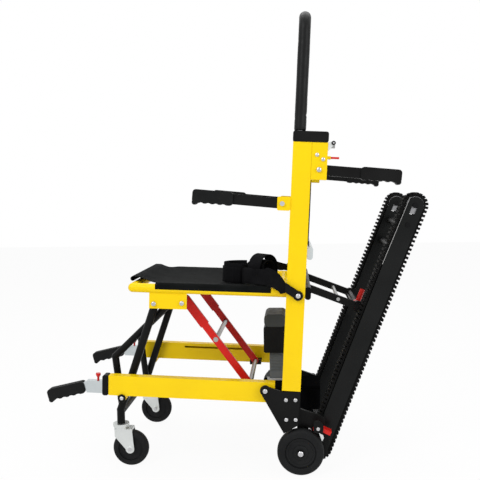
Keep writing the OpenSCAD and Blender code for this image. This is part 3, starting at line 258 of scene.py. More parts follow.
# Places in the part's own millimetres: X from the rear axle, Y to the passenger's right, Z up
MID = 172.588
SEAT_HINGE = (-1.774, 486.201)
BASE_HINGE = (-91.774, 231.201)
UPRIGHT_FOOT = (-23, 231)
TRACK_PIVOT = (52, 56)
TILT = math.radians(2.3)
LEAN = math.radians(3.3)
TRACK_LEAN = math.radians(21.4)
OUT = {-1: Vector((0, -1, 0)), 1: Vector((0, 1, 0))}
SIDES = ((-1, "left"), (1, "right"))
SMALL, ROUND, FINE, HEXAGON = 24, 32, 64, 6


def at(x, y, z):
    return Vector(((x + MID) / 1000, y / 1000, z / 1000))


def turned(origin, angle, x, y, z):
    c, s = math.cos(angle), math.sin(angle)
    return at(origin[0] + x * c + z * s, y, origin[1] - x * s + z * c)


# In the seat: x to the rear of its hinge, z square to the seat
def on_seat(x, y, z):
    return turned(SEAT_HINGE, TILT, x, y, z)


# On an upright: n to the rear of its middle, up along it from its foot
def on_upright(n, y, up):
    return turned(UPRIGHT_FOOT, LEAN, n, y, up)


# On the stowed crawler: z along it from its drive shaft
def on_track(x, y, z):
    return turned(TRACK_PIVOT, TRACK_LEAN, x, y, z)


# One millimetre square to the seat, and one to the rear of the uprights
SEAT_UP = on_seat(0, 0, 1) - on_seat(0, 0, 0)
REARWARD = on_upright(1, 0, 0) - on_upright(0, 0, 0)


def piece(name, verts, faces, slot, body, smooth=True, mat=None):
    me = bpy.data.meshes.new(name)
    me.from_pydata([tuple(v) for v in verts], [], faces)
    bm = bmesh.new()
    bm.from_mesh(me)
    bmesh.ops.remove_doubles(bm, verts=bm.verts, dist=1e-6)
    bmesh.ops.recalc_face_normals(bm, faces=bm.faces)
    bm.to_mesh(me)
    bm.free()
    for p in me.polygons:
        p.use_smooth = smooth
    o = bpy.data.objects.new(name, me)
    scene.collection.objects.link(o)
    me.materials.append(mat or mats[slot])
    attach(o, body)
    return o


# Faces between rings of n points each, one ring after the other, with a cap on both ends
def ring_faces(first, rings, n):
    faces = []
    for i in range(rings - 1):
        for k in range(n):
            a, b = first + i * n + k, first + i * n + (k + 1) % n
            faces.append((a, b, b + n, a + n))
    faces.append(tuple(first + k for k in range(n))[::-1])
    faces.append(tuple(first + (rings - 1) * n + k for k in range(n)))
    return faces


# Several turned forms in one mesh: each is (base, axis, [(radius, height), ...]) in metres
def turned_forms(name, forms, slot, body, n=ROUND):
    verts, faces = [], []
    for base, axis, profile in forms:
        axis = axis.normalized()
        side = axis.orthogonal().normalized()
        up = axis.cross(side)
        faces += ring_faces(len(verts), len(profile), n)
        for r, h in profile:
            for k in range(n):
                a = 2 * math.pi * k / n
                verts.append(base + axis * h + (side * math.cos(a) + up * math.sin(a)) * max(r, 1e-5))
    o = piece(name, verts, faces, slot, body)
    o.data.set_sharp_from_angle(angle=math.radians(35))
    return o


# Flat outlines given thickness: each is (points, thickness vector), with a bevel on every edge
def plates(name, outlines, slot, body, bevel=0.0006, mat=None):
    verts, faces = [], []
    for pts, thick in outlines:
        k = len(verts)
        n = len(pts)
        verts += list(pts) + [p + thick for p in pts]
        faces.append(tuple(k + i for i in range(n)))
        faces.append(tuple(k + n + i for i in range(n))[::-1])
        for i in range(n):
            j = (i + 1) % n
            faces.append((k + i, k + j, k + n + j, k + n + i))
    o = piece(name, verts, faces, slot, body, False, mat)
    if bevel:
        m = o.modifiers.new("bevel", "BEVEL")
        m.width = bevel
        m.segments = 2
        m.limit_method = "ANGLE"
    return o


def rounded(points, r, n=5):
    out = []
    for i, p in enumerate(points):
        a, b = points[i - 1], points[(i + 1) % len(points)]
        da, db = (a - p).normalized(), (b - p).normalized()
        d = min(r, (a - p).length * 0.49, (b - p).length * 0.49)
        for k in range(n + 1):
            t = k / n
            out.append((p + da * d) * (1 - t) ** 2 + p * 2 * t * (1 - t) + (p + db * d) * t ** 2)
    return out


# A thin closed shell: an open grid of points and, at each, how thick the cloth is below it
def shell(name, verts, faces, thick, slot, body):
    bm = bmesh.new()
    vs = [bm.verts.new(v) for v in verts]
    for f in faces:
        bm.faces.new([vs[i] for i in f])
    bmesh.ops.recalc_face_normals(bm, faces=bm.faces)
    bm.normal_update()
    if sum(v.normal.z for v in vs) < 0:
        bmesh.ops.reverse_faces(bm, faces=bm.faces)
        bm.normal_update()
    low = [v.co - v.normal * t for v, t in zip(vs, thick)]
    bm.verts.index_update()
    rim = [tuple(v.index for v in e.verts) for e in bm.edges if e.is_boundary]
    top = [tuple(v.index for v in f.verts) for f in bm.faces]
    cos = [v.co.copy() for v in vs]
    bm.free()
    n = len(cos)
    full = top + [tuple(n + i for i in f[::-1]) for f in top] + [(a, b, n + b, n + a) for a, b in rim]
    return piece(name, cos + low, full, slot, body)


def spline(a, b, c, d, t):
    return 0.5 * ((2 * b) + (c - a) * t + (2 * a - 5 * b + 4 * c - d) * t * t
                  + (3 * b - a - 3 * c + d) * t ** 3)


# Webbing along a smooth path of (place, width vector), with thin selvedges
WEB_THICK = 0.0021
SELVEDGE = [(-0.5, 0.35), (-0.47, 1), (-0.3, 0.92), (0, 1), (0.3, 0.92), (0.47, 1), (0.5, 0.35)]


def webbing(name, keys, slot, body, steps=8):
    pts, wid = [], []
    n = len(keys)
    for i in range(n - 1):
        q = [keys[max(i - 1, 0)], keys[i], keys[i + 1], keys[min(i + 2, n - 1)]]
        for k in range(steps):
            t = k / steps
            pts.append(spline(*(x[0] for x in q), t))
            wid.append(spline(*(x[1] for x in q), t))
    pts.append(keys[-1][0])
    wid.append(keys[-1][1])
    ring = SELVEDGE + [(a, -b) for a, b in SELVEDGE[::-1]]
    verts = []
    for i, p in enumerate(pts):
        run = pts[min(i + 1, len(pts) - 1)] - pts[max(i - 1, 0)]
        face = run.cross(wid[i]).normalized() * WEB_THICK / 2
        verts += [p + wid[i] * a + face * b for a, b in ring]
    return piece(name, verts, ring_faces(0, len(pts), len(ring)), slot, body)


# Rows of stitches: short lozenges along a run of points, lying on the cloth
STITCH_LONG, STITCH_WIDE = 0.0028, 0.0007


def stitches(name, rows, slot, body):
    verts, faces = [], []
    for row, normal in rows:
        for a, b in zip(row, row[1:]):
            count = max(1, int((b - a).length / (STITCH_LONG * 1.6)))
            for k in range(count):
                c = a + (b - a) * ((k + 0.5) / count)
                u = (b - a).normalized() * STITCH_LONG / 2
                v = normal.cross(u).normalized() * STITCH_WIDE / 2
                i = len(verts)
                verts += [c - u, c + v, c + u, c - v, c + normal * STITCH_WIDE * 0.6]
                faces += [(i, i + 1, i + 4), (i + 1, i + 2, i + 4), (i + 2, i + 3, i + 4), (i + 3, i, i + 4)]
    return piece(name, verts, faces, slot, body, True, mats["thread"])


# Seat cloth: a sling over both side tubes that narrows at the front and ends in a rolled hem
SEAT_Y, TUBE_R, SAG = 200.1, 12.5, 8.0
CLEAR, PAD = 0.4, 3.4
REAR, NOTCH, NOTCH_RUN = -72.0, -386.0, 34
HEM_X, HEM_R, HEM_UP, HEM_W = -458.0, 6.8, 19.9, 166
RUNS, HEM_RUNS, ACROSS = 52, 16, 56
CLOTH, HEM_CLOTH, LEAST_CLOTH = 0.0012, 0.0011, 0.00005
WRAPS, WRAP_STEP, WRAP_R, WRAP_GROW, WRAP_MIN = 12, 8, 12.64, 3.66, 12.56


def sling_z(y):
    return TUBE_R + CLEAR + PAD - SAG * (1 - (min(abs(y), SEAT_Y) / SEAT_Y) ** 2)


def half_width(x):
    t = min(max((NOTCH - x) / NOTCH_RUN, 0), 1)
    return SEAT_Y - (SEAT_Y - HEM_W) * (t * t * (3 - 2 * t))


# The sling's sag, its rise to the hem, and shallow waves at the hem, along the middle and at the belt
def cloth_z(x, y):
    front = min(max((NOTCH + 6 - x) / 62, 0), 1)
    z = sling_z(y) * (1 - front) + (HEM_UP + HEM_R) * front ** 2 + sling_z(y) * (front - front ** 2)
    edge = 1 - abs(y) / SEAT_Y
    z += 0.5 * math.sin(y / 17 + 0.6) * math.exp(-((x + 420) / 26) ** 2)
    z += 0.45 * math.sin(x / 31 + y / 70) * max(edge, 0)
    z += 0.35 * math.sin((x + 0.6 * y) / 14) * math.exp(-((x + 100) / 40) ** 2)
    return z


xs = [REAR - i * (REAR - NOTCH) / RUNS for i in range(RUNS + 1)]
xs += [NOTCH - i * (NOTCH - HEM_X) / HEM_RUNS for i in range(1, HEM_RUNS + 1)]
verts, thick, grid = [], [], []
for x in xs:
    w = half_width(x)
    row = []
    for j in range(ACROSS + 1):
        y = w * (2 * j / ACROSS - 1)
        row.append(len(verts))
        verts.append(on_seat(x, y, cloth_z(x, y)))
        thick.append(CLOTH)
    grid.append(row)
for a in [math.radians(90 + turn) for turn in range(14, 300, 14)]:
    row = []
    for j in range(ACROSS + 1):
        y = HEM_W * (2 * j / ACROSS - 1)
        r = HEM_R - 0.4 * (a - math.pi / 2) / math.pi + 0.12 * math.sin(y / 6)
        row.append(len(verts))
        verts.append(on_seat(HEM_X + r * math.cos(a), y, HEM_UP + r * math.sin(a)))
        thick.append(HEM_CLOTH)
    grid.append(row)
faces = [(grid[i][j], grid[i][j + 1], grid[i + 1][j + 1], grid[i + 1][j])
         for i in range(len(grid) - 1) for j in range(ACROSS)]
for side, edge in ((-1, 0), (1, ACROSS)):
    prev = [grid[i][edge] for i in range(RUNS + 1)]
    for k in range(1, WRAPS + 1):
        phi = math.radians(90 - k * WRAP_STEP)
        r = WRAP_R + WRAP_GROW * max(math.sin(phi), 0) ** 2
        col = []
        for i in range(RUNS + 1):
            ripple = 0.12 * math.sin(xs[i] / 5.5) * max(math.sin(phi), 0)
            col.append(len(verts))
            verts.append(on_seat(xs[i], side * (SEAT_Y + r * math.cos(phi)), (r + ripple) * math.sin(phi)))
            thick.append(max(min(CLOTH, (r - WRAP_MIN) / 1000), LEAST_CLOTH))
        for i in range(RUNS):
            q = (prev[i], prev[i + 1], col[i + 1], col[i])
            faces.append(q if side < 0 else q[::-1])
        prev = col
seat_cloth = shell("seat_cloth", verts, faces, thick, "fabric_black", "seat")
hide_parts("seat_sling")
THREAD_UP = 0.15
rows = []
for y in (-186, -181, 181, 186):
    rows.append(([on_seat(x, y, cloth_z(x, y) + THREAD_UP) for x in xs[2:RUNS:5]], SEAT_UP))
for x in (-436, -440):
    rows.append(([on_seat(x, y, cloth_z(x, y) + THREAD_UP) for y in range(-160, 161, 20)], SEAT_UP))
seat_thread = stitches("seat_thread", rows, "fabric_black", "seat")

# Back cloth between the two upper cross bars, bowed a little to the rear
BACK_LO, BACK_HI, BACK_W, BACK_N = 383.4, 582.6, 200.0, 26.9
BACK_CLOTH = 0.0014
NU, NW = 30, 44
verts, thick, faces = [], [], []
for i in range(NU + 1):
    up = BACK_LO + (BACK_HI - BACK_LO) * i / NU
    for j in range(NW + 1):
        y = BACK_W * (2 * j / NW - 1)
        rise = math.sin(math.pi * i / NU)
        pull = 3.0 * rise ** 0.6 * (abs(y) / BACK_W) ** 6
        bow = 2.6 * rise * (1 - (y / BACK_W) ** 2)
        fold = 0.35 * math.sin(y / 16 + up / 60) * rise
        verts.append(on_upright(BACK_N + bow + fold, y * (1 - pull / BACK_W), up))
        thick.append(BACK_CLOTH)
for i in range(NU):
    for j in range(NW):
        a = i * (NW + 1) + j
        faces.append((a, a + 1, a + NW + 2, a + NW + 1))
back_cloth = shell("back_cloth", verts, faces, thick, "fabric_black", "frame")
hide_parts("backrest_sling")
HEM_N, HEM_HALF, HEM_TALL, HEM_THICK = 27.4, 198, 12, 2.2
hems = []
for lo, hi in ((BACK_LO, BACK_LO + HEM_TALL), (BACK_HI - HEM_TALL, BACK_HI)):
    corners = ((-HEM_HALF, lo), (HEM_HALF, lo), (HEM_HALF, hi), (-HEM_HALF, hi))
    hems.append(([on_upright(HEM_N, y, up) for y, up in corners], REARWARD * HEM_THICK))
back_hems = plates("back_hems", hems, "fabric_black", "frame", 0.0009)
rows = [([on_upright(29.8, y, up) for y in range(-195, 196, 26)], REARWARD) for up in (393.0, 573.0)]
back_thread = stitches("back_thread", rows, "fabric_black", "frame")

# Lap belt: a strap from each anchor with its face outward, a loop that stands on the seat, and the rolled end
WEB = 44.0
BELT_Y = -152


def way(x, y, z):
    return on_seat(x, y, z) - on_seat(0, 0, 0)


# Straps: each key's x and reach from the middle with the lean of the width, then its height and width by side;
# each strap is split at one key into the part at the upright and the part on the seat
STRAP_PLAN = [(-30.5, 250.4, 0, 0), (-47, 246.4, -4, 0), (-60, 239, -13, -6), (-81, 216.6, -4, 5),
              (-91.5, 211.2, -2, 0), (-102, 207.8, 0, -3), (-123, 200.1, 0, 0)]
STRAP_RISE = {-1: [(18.5, 21), (28, 50), (37, 54), (43, 49), (41, 41), (41, 41), (41, 41)],
              1: [(18.5, 21), (21.5, 24), (24, 30), (32, 32), (32, 32), (32, 32), (32, 32)]}
SPLIT = 4


def strap(s):
    return [(on_seat(x, s * y, z), way(dx, s * dy, width))
            for (x, y, dx, dy), (z, width) in zip(STRAP_PLAN, STRAP_RISE[s])]


# Near strap, and its end rolled up on the seat, rising as it winds inward
ROLL_X, ROLL_Y, ROLL_R, ROLL_SHRINK, ROLL_RISE = -172, -118, 40, 5.5, 19
ROLL_FROM, ROLL_STEP, ROLL_KEYS, ROLL_CLEAR = -60, 12.9, 48, 0.9
near_strap = webbing("belt_strap_left", strap(-1)[:SPLIT + 1], "webbing", "seat")
keys = strap(-1)[SPLIT:] + [(on_seat(-140, -180, 40.5), way(0, 0, 43))]
for k in range(ROLL_KEYS + 1):
    a = math.radians(ROLL_FROM - ROLL_STEP * k)
    r = ROLL_R - ROLL_SHRINK * k / ROLL_KEYS
    x, y = ROLL_X + r * math.cos(a), ROLL_Y + r * math.sin(a)
    z = sling_z(y) + ROLL_CLEAR + WEB / 2 + ROLL_RISE * k / ROLL_KEYS
    keys.append((on_seat(x, y, z), way(0, 0, WEB)))
belt_roll = webbing("belt_roll", keys, "webbing", "seat", steps=6)

# Far strap, and its end turned down flat on the seat
FLAT = sling_z(200) + 2.4
far_strap = webbing("belt_strap_right", strap(1)[:SPLIT + 1], "webbing", "seat")
keys = strap(1)[SPLIT:] + [(on_seat(-149, 182, 34), way(0, -17, 26)),
                           (on_seat(-168, 179, 25), way(0, -33, 14)),
                           (on_seat(-186, 178, FLAT), way(0, -43, 0)),
                           (on_seat(-230, 178, FLAT), way(0, -43, 0))]
belt_end = webbing("belt_end", keys, "webbing", "seat")

# Standing loop: once over in a wide bow and back under it in a lower one
BOW_X, BOW_Y, BOW_R, BOW_UP = -97, -156, 36, 62
UNDER_R, UNDER_UP, UNDER_TALL = 26, 58, 24
BOW_TURN = math.radians(50)
ex, ey = math.cos(BOW_TURN), math.sin(BOW_TURN)
across_bow = way(-ey * WEB, ex * WEB, 0)


def bow_key(along, z):
    return on_seat(BOW_X + along * ex, BOW_Y + along * ey, z), across_bow


keys = [bow_key(BOW_R, 13.2), bow_key(BOW_R, 40)]
for k in range(13):
    a = math.pi * k / 12
    keys.append(bow_key(BOW_R * math.cos(a), BOW_UP + BOW_R * math.sin(a)))
keys += [bow_key(-BOW_R, 46), bow_key(-31, 36), bow_key(-27, 44)]
for k in range(9):
    a = math.pi * (1 - k / 8)
    keys.append(bow_key(UNDER_R * math.cos(a), UNDER_UP + UNDER_TALL * math.sin(a)))
keys += [bow_key(27, 40), bow_key(29, 33)]
belt_bow = webbing("belt_bow", keys, "webbing", "seat", steps=5)
for o in (near_strap, belt_roll, far_strap, belt_end, belt_bow):
    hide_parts("lap_belt")


# Buckle under the loop: a body in two steps and its push button
def buckle_outline(x0, x1, w, z):
    corners = ((x0, -w), (x1, -w), (x1, w), (x0, w))
    return rounded([on_seat(x, BELT_Y + y, z) for x, y in corners], 0.005)


steps = [(buckle_outline(-119.5, -74.5, 16.5, 14.9), SEAT_UP * 9.5),
         (buckle_outline(-117.5, -77, 14.5, 24.4), SEAT_UP * 3.6)]
buckle = plates("buckle_body", steps, "plastic_black", "seat", 0.0013)
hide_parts("belt_buckle")
steps = [(buckle_outline(-97, -80, 9.5, 28), SEAT_UP * 1.5)]
button = plates("buckle_button", steps, "grey_plastic", "seat", 0.0007)

# Foam sleeve on the lift handle: one tube round the U with creases near its ends
LIFT_N, LIFT_UP, TOP, BEND, LEG_Y = -8.0, 683.0, 299.2, 45.0, 228.0
FOAM_LOW, FOAM_R, FOAM_WAVE, FOAM_END, FAR_SHIFT = 1, 15.55, 0.12, 1.1, 7
LEG_RUNS, BEND_RUNS, TOP_RUNS, RING = 50, 14, 40, 30
path = []
for k in range(LEG_RUNS + 1):
    path.append((-LEG_Y, FOAM_LOW + (TOP - BEND - FOAM_LOW) * k / LEG_RUNS))
for k in range(1, BEND_RUNS + 1):
    a = math.pi - math.pi / 2 * k / BEND_RUNS
    path.append((-LEG_Y + BEND + BEND * math.cos(a), TOP - BEND + BEND * math.sin(a)))
for k in range(1, TOP_RUNS):
    path.append((-LEG_Y + BEND + (2 * LEG_Y - 2 * BEND) * k / TOP_RUNS, TOP))
for k in range(BEND_RUNS + 1):
    a = math.pi / 2 - math.pi / 2 * k / BEND_RUNS
    path.append((LEG_Y - BEND + BEND * math.cos(a), TOP - BEND + BEND * math.sin(a)))
for k in range(1, LEG_RUNS + 1):
    path.append((LEG_Y, TOP - BEND - (TOP - BEND - FOAM_LOW) * k / LEG_RUNS))

# Creases across the legs: height, slope round the tube, depth and width
creases = [(38, 0.9, 1.5, 2.6), (47, 1.1, 1.1, 2.2), (30, 0.6, 0.8, 2.0), (232, 0.3, 1.2, 1.8), (90, 0.7, 0.4, 3.0)]
verts = []
length = 0.0
for i, (y, z) in enumerate(path):
    if i:
        length += math.hypot(y - path[i - 1][0], z - path[i - 1][1])
    a, b = path[max(i - 1, 0)], path[min(i + 1, len(path) - 1)]
    run = Vector((0, b[0] - a[0], b[1] - a[1])).normalized()
    side = Vector((1, 0, 0))
    other = run.cross(side)
    height = z if y < 0 else z + FAR_SHIFT
    for k in range(RING):
        t = 2 * math.pi * k / RING
        r = FOAM_R + FOAM_WAVE * math.sin(length / 23 + 2 * t)
        for place, slope, deep, wide in creases:
            off = height - place - 6 * slope * math.cos(t + place)
            if abs(y) > LEG_Y - 1:
                r -= deep * math.exp(-(off / wide) ** 2) * (0.55 + 0.45 * math.cos(t - 2.2 + place / 40))
        if i in (0, len(path) - 1):
            r -= FOAM_END
        d = side * math.cos(t) * r + other * math.sin(t) * r
        verts.append(on_upright(LIFT_N + d.x, y + d.y, LIFT_UP + z + d.z))
foam = piece("lift_foam", verts, ring_faces(0, len(path), RING), "foam", "lift")
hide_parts("lift_sleeve")

# Button heads with a socket on every bolt: each profile is a share of the head's radius, and a height
BOLT_HEAD = [(0.98, -0.0004), (0.98, 0.0003), (0.88, 0.0011), (0.66, 0.0016), (0.46, 0.0017), (0.44, 0.0014),
             (0.42, 0.0004)]
SCREW_HEAD = [(0.98, -0.0003), (0.96, 0.0004), (0.8, 0.0012), (0.5, 0.0017), (0.46, 0.0015), (0.42, 0.0006)]
CHEEK_FACE, HINGE_FACE, GUSSET_FACE = 248, 255.8, 209
CHEEK_HEAD_R, HINGE_HEAD_R = 5.2, 6.2


def sized(profile, r):
    return [(r * share, h) for share, h in profile]


bolts = [(x, z, CHEEK_FACE, CHEEK_HEAD_R) for z in (155, 208) for x in (-37, -12)]
bolts += [(*BASE_HINGE, CHEEK_FACE, HINGE_HEAD_R), (*SEAT_HINGE, HINGE_FACE, HINGE_HEAD_R)]
buttons = [(at(x, s * y, z), OUT[s], sized(BOLT_HEAD, r / 1000)) for s in (-1, 1) for x, z, y, r in bolts]
turned_forms("bolt_buttons", buttons, "bolt_steel", "frame", SMALL)
GUSSET_HEAD = [(0.0061, -0.0004), (0.0061, 0.0003), (0.0054, 0.0011), (0.0041, 0.0016), (0.0029, 0.0017),
               (0.0027, 0.0014), (0.0026, 0.0004)]
LEG_TOP, BRACE_TOP = (-393.146, 459.887), (-316.047, 460.793)
buttons = [(at(x, s * GUSSET_FACE, z), OUT[s], GUSSET_HEAD) for s in (-1, 1) for x, z in (LEG_TOP, BRACE_TOP)]
turned_forms("gusset_buttons", buttons, "bolt_steel", "seat", SMALL)

# Rear wheels: raised rings on the hub face and a bright axle nut with a domed end
WHEEL_Z, WHEEL_FACE, AXLE_END = 62.5, 239, 248.4
OUTER_RING = [(0.0395, -0.0002), (0.0395, 0.0012), (0.0385, 0.0018), (0.0345, 0.0018), (0.0335, 0.0012),
              (0.0335, 0.0002)]
INNER_RING = [(0.0200, -0.0002), (0.0200, 0.0020), (0.0190, 0.0028), (0.0120, 0.0034), (0.0115, 0.0034)]
AXLE_NUT = [(0.0072, -0.0006), (0.0072, 0.0004), (0.0060, 0.0014), (0.0042, 0.0020), (0.0040, 0.0012)]
for s, side in SIDES:
    rings = [(at(0, s * WHEEL_FACE, WHEEL_Z), OUT[s], ring) for ring in (OUTER_RING, INNER_RING)]
    turned_forms("hub_rings_" + side, rings, "tread", "rear_wheel_" + side, FINE)
nuts = [(at(0, s * AXLE_END, WHEEL_Z), OUT[s], AXLE_NUT) for s in (-1, 1)]
turned_forms("axle_caps", nuts, "bolt_steel", "frame", SMALL)

# Grey flange between the motor and its gear case
FLANGE_Y, FLANGE_Z, FLANGE_THICK = 50, 206, 0.006
corners = ((-94, -FLANGE_Y), (-30, -FLANGE_Y), (-30, FLANGE_Y), (-94, FLANGE_Y))
flange = rounded([at(x, y, FLANGE_Z) for x, y in corners], 0.012)
plates("motor_flange", [(flange, Vector((0, 0, FLANGE_THICK)))], "grey_metal", "frame", 0.001)

# Brake: a black cover over each pedal's pivot with a bright bolt, and a small bright catch under it
COVER_IN, COVER_OUT, BRACKET_FACE = 237.2, 239.2, 211.5
COVER = [(34, 119), (59, 111), (62, 137), (53, 150), (36, 150)]
CATCH = [(49, 118), (60, 112), (62, 104), (57, 95)]
PIVOT_BOLT = [(0.0050, -0.0002), (0.0050, 0.0016), (0.0042, 0.0026), (0.0024, 0.0028), (0.0022, 0.0018)]
BRACKET_BOLT = [(0.0049, -0.0002), (0.0047, 0.0006), (0.0036, 0.0013), (0.0022, 0.0014), (0.0020, 0.0006)]
covers, bolts, catches = [], [], []
for s in (-1, 1):
    sheet = Vector((0, s * 0.002, 0))
    covers.append((rounded([at(x, s * COVER_IN, z) for x, z in COVER], 0.005), sheet))
    bolts.append((at(47, s * COVER_OUT, 128), OUT[s], PIVOT_BOLT))
    bolts.append((at(25, s * BRACKET_FACE, 116), OUT[s], BRACKET_BOLT))
    catches.append(([at(x, s * COVER_OUT, z) for x, z in CATCH], sheet))
plates("brake_covers", covers, "paint_black", "frame", 0.0005)
turned_forms("brake_bolts", bolts, "bolt_steel", "frame", SMALL)
plates("brake_catches", catches, "zinc", "frame", 0.0005)

# Head boxes: a darker yellow strip painted as the shade in the seam against the upright, button heads on the screws,
# and the clamp with its black roller
UPRIGHT_FACE = 243
# Strip of painted seam shade on the upright's face: rear of its middle, and up from its foot
SEAM_SHADE = [(24.1, 560), (24.9, 560), (24.9, 655), (24.1, 655)]
SCREWS = [(38.5, 623, 245.5, 0.005), (54.5, 612, 245.5, 0.005), (45.0, 585.0, 248, 0.0062)]
seam_shades, heads = [], []
for s in (-1, 1):
    seam_shades.append(([on_upright(n, s * UPRIGHT_FACE, up) for n, up in SEAM_SHADE], Vector((0, s * 0.0002, 0))))
    heads += [(on_upright(n, s * y, up), OUT[s], sized(SCREW_HEAD, r)) for n, up, y, r in SCREWS]
plates("head_seam_shades", seam_shades, "paint_yellow", "frame", 0, mats["seam_shade"])
turned_forms("head_buttons", heads, "bolt_steel", "frame", SMALL)
CLAMP_Y = -242
CLAMP = [(65.6, 656), (77, 659), (82, 652), (70, 637), (65.6, 634)]
clamp = [on_upright(n, CLAMP_Y, up) for n, up in CLAMP]
plates("clamp_bracket", [(clamp, Vector((0, 0.002, 0)))], "zinc", "frame", 0.0004)
ROLLER_AT = on_upright(79.2, -246.5, 654.5)
ROLLER = [(0.0030, 0), (0.0052, 0.0006), (0.0056, 0.0016), (0.0056, 0.0036), (0.0050, 0.0044)]
ROLLER_PIN = [(0.0024, -0.0002), (0.0022, 0.0006), (0.0010, 0.0009)]
turned_forms("clamp_roller", [(ROLLER_AT, OUT[1], ROLLER)], "plastic_black", "frame", ROUND)
turned_forms("roller_pin", [(ROLLER_AT, OUT[-1], ROLLER_PIN)], "bolt_steel", "frame", 20)

# Ribs down the motor's lower housing
RIB_COUNT, RIB_LOW, RIB_PITCH, RIB_TALL = 5, 236, 9, 3
RIB_FACE, RIB_PROUD = 46, 0.0018
ribs = []
for k in range(RIB_COUNT):
    lo = RIB_LOW + RIB_PITCH * k
    hi = lo + RIB_TALL
    for s in (-1, 1):
        outline = [at(x, s * RIB_FACE, z) for x, z in ((-82, lo), (-30, lo), (-30, hi), (-82, hi))]
        ribs.append((outline, Vector((0, s * RIB_PROUD, 0))))
plates("motor_ribs", ribs, "motor_grey", "frame", 0.0005)

# Painted highlight: a grey metal strip along the front flange of each crawler side plate, for the light caught on
# its edge
TRACK_FACE = 185.4
HIGHLIGHT_LINE = [(-21.4, 724), (-25, 532), (-23.6, 532), (-20.0, 724)]
edges = [([on_track(x, s * TRACK_FACE, z) for x, z in HIGHLIGHT_LINE], Vector((0, s * 0.0008, 0))) for s in (-1, 1)]
plates("flange_highlights", edges, "grey_metal", "track", 0.0002)

# Casters: a washer and a hexagon bolt head on both sides of each fork, flat where the rail passes in the fold
CASTER_X, CASTER_Y, CASTER_Z, FORK_HALF = -473, 178, 50, 21
CASTER_WASHER = [(0.0088, -0.0030), (0.0088, -0.0016), (0.0080, -0.0012)]
FLAT_HEAD, TALL_HEAD = 0.0006, 0.0028
for s, side in SIDES:
    washers, hexes = [], []
    for face in (-1, 1):
        c = at(CASTER_X, s * CASTER_Y + face * FORK_HALF, CASTER_Z)
        washers.append((c, OUT[face], CASTER_WASHER))
        tall = FLAT_HEAD if face == s else TALL_HEAD
        hexes.append((c, OUT[face], [(0.0060, -0.0012), (0.0060, tall * 0.5), (0.0050, tall * 0.9), (0.0020, tall)]))
    turned_forms("caster_washers_" + side, washers, "zinc", "caster_" + side, ROUND)
    turned_forms("caster_bolts_" + side, hexes, "bolt_steel", "caster_" + side, HEXAGON)

# Leg pins: a black washer and a bright button head outside each rail lug
LEG_PIN_X, LEG_PIN_Y, LEG_PIN_Z = -483.146, 229.4, 204.887
PIN_WASHER = [(0.0110, -0.0002), (0.0112, 0.0004), (0.0108, 0.0012), (0.0060, 0.0014)]
PIN_HEAD = [(0.0052, 0.0010), (0.0050, 0.0020), (0.0040, 0.0028), (0.0024, 0.0030), (0.0022, 0.0020)]
ends = [(at(LEG_PIN_X, s * LEG_PIN_Y, LEG_PIN_Z), OUT[s]) for s in (-1, 1)]
turned_forms("leg_washers", [(*end, PIN_WASHER) for end in ends], "paint_black", "legs", ROUND)
turned_forms("leg_pin_buttons", [(*end, PIN_HEAD) for end in ends], "bolt_steel", "legs", SMALL)

# The belt pieces and the buckle each get their own copy of mesh data
for o in (belt_roll, belt_end, belt_bow, buckle, button):
    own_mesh(o)
for o in (near_strap, far_strap):
    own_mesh(o)

# Camera at the photograph's station
SENSOR, IMAGE, FOCAL = 36, 480, 673.97
cam = bpy.data.objects.new("camera", bpy.data.cameras.new("camera"))
scene.collection.objects.link(cam)
cam.data.sensor_width = SENSOR
cam.data.lens = FOCAL / IMAGE * SENSOR
ahead = Vector((-0.07832219, 0.99461104, -0.06793027))
right = Vector((0.99685318, 0.07729894, -0.01756714))
above = Vector((0.01222154, 0.0690924, 0.9975354))
station = Vector((-0.0134 + MID / 1000, -1.99837, 0.75328))
cam.matrix_world = Matrix([(right[i], above[i], -ahead[i], station[i]) for i in range(3)] + [(0, 0, 0, 1)])
scene.camera = cam


# 1 where the camera, a mirror or glass looks straight at a surface, else 0
def looked_at(t):
    p = add(t, "ShaderNodeLightPath")
    a = add(t, "ShaderNodeMath", operation="MAXIMUM")
    b = add(t, "ShaderNodeMath", operation="MAXIMUM")
    t.links.new(p.outputs["Is Camera Ray"], a.inputs[0])
    t.links.new(p.outputs["Is Glossy Ray"], a.inputs[1])
    t.links.new(a.outputs[0], b.inputs[0])
    t.links.new(p.outputs["Is Transmission Ray"], b.inputs[1])
    return b.outputs[0]


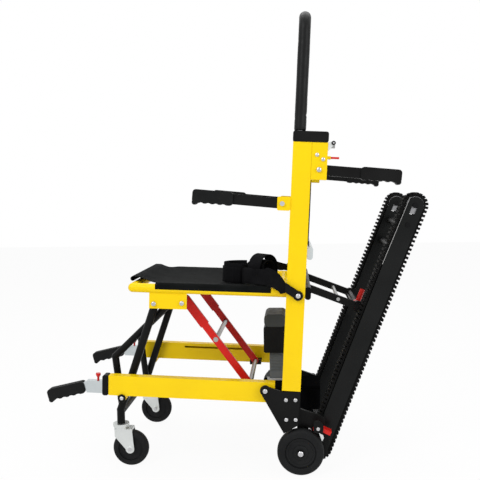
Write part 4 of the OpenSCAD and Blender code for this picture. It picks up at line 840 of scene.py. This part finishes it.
# Floor: almost white where it is looked at, with a share left for the shadow
WHITE = (1, 1, 1, 1)
FLOOR_SIZE, FLOOR_Z, FLOOR_SHARE = 16, -0.0005, 0.94
bpy.ops.mesh.primitive_plane_add(size=FLOOR_SIZE, location=(0, 0, FLOOR_Z))
floor = bpy.context.object
floor.name = "floor"
m, t, s = new_mat("floor")
s.inputs["Roughness"].default_value = 0.9
s.inputs["Specular IOR Level"].default_value = 0.1
t.links.new(mix_colour(t, noise(t, 3, 3), (0.90, 0.90, 0.90), (0.88, 0.88, 0.88)), s.inputs["Base Color"])
glow = add(t, "ShaderNodeEmission", Strength=1.0)
glow.inputs["Color"].default_value = WHITE
share = add(t, "ShaderNodeMath", operation="MULTIPLY")
share.inputs[1].default_value = FLOOR_SHARE
t.links.new(looked_at(t), share.inputs[0])
blend = add(t, "ShaderNodeMixShader")
t.links.new(share.outputs[0], blend.inputs[0])
t.links.new(s.outputs["BSDF"], blend.inputs[1])
t.links.new(glow.outputs[0], blend.inputs[2])
t.links.new(blend.outputs[0], [n for n in t.nodes if n.type == "OUTPUT_MATERIAL"][0].inputs["Surface"])
floor.data.materials.append(m)

# World: white where it is looked at, plain grey light for everything else
WORLD_LIGHT = 0.52
world = bpy.data.worlds.new("world")
scene.world = world
world.use_nodes = True
t = world.node_tree
t.nodes.clear()
out = add(t, "ShaderNodeOutputWorld")
grey = add(t, "ShaderNodeBackground", Strength=WORLD_LIGHT)
grey.inputs["Color"].default_value = WHITE
white = add(t, "ShaderNodeBackground", Strength=1.0)
white.inputs["Color"].default_value = WHITE
blend = add(t, "ShaderNodeMixShader")
t.links.new(looked_at(t), blend.inputs[0])
t.links.new(grey.outputs[0], blend.inputs[1])
t.links.new(white.outputs[0], blend.inputs[2])
t.links.new(blend.outputs[0], out.inputs[0])


def lamp(name, place, target, size, power):
    d = bpy.data.lights.new(name, "AREA")
    d.size = size
    d.energy = power
    o = bpy.data.objects.new(name, d)
    scene.collection.objects.link(o)
    o.location = place
    o.rotation_euler = (Vector(target) - Vector(place)).to_track_quat("-Z", "Y").to_euler()


lamp("key", (-1.6, -2.4, 2.6), (0, 0, 0.5), 1.6, 46)
lamp("fill", (2.2, -1.8, 1.6), (0, 0, 0.5), 1.8, 25)
lamp("top", (0.2, 0.6, 3.0), (0, 0, 0.6), 2.2, 31)
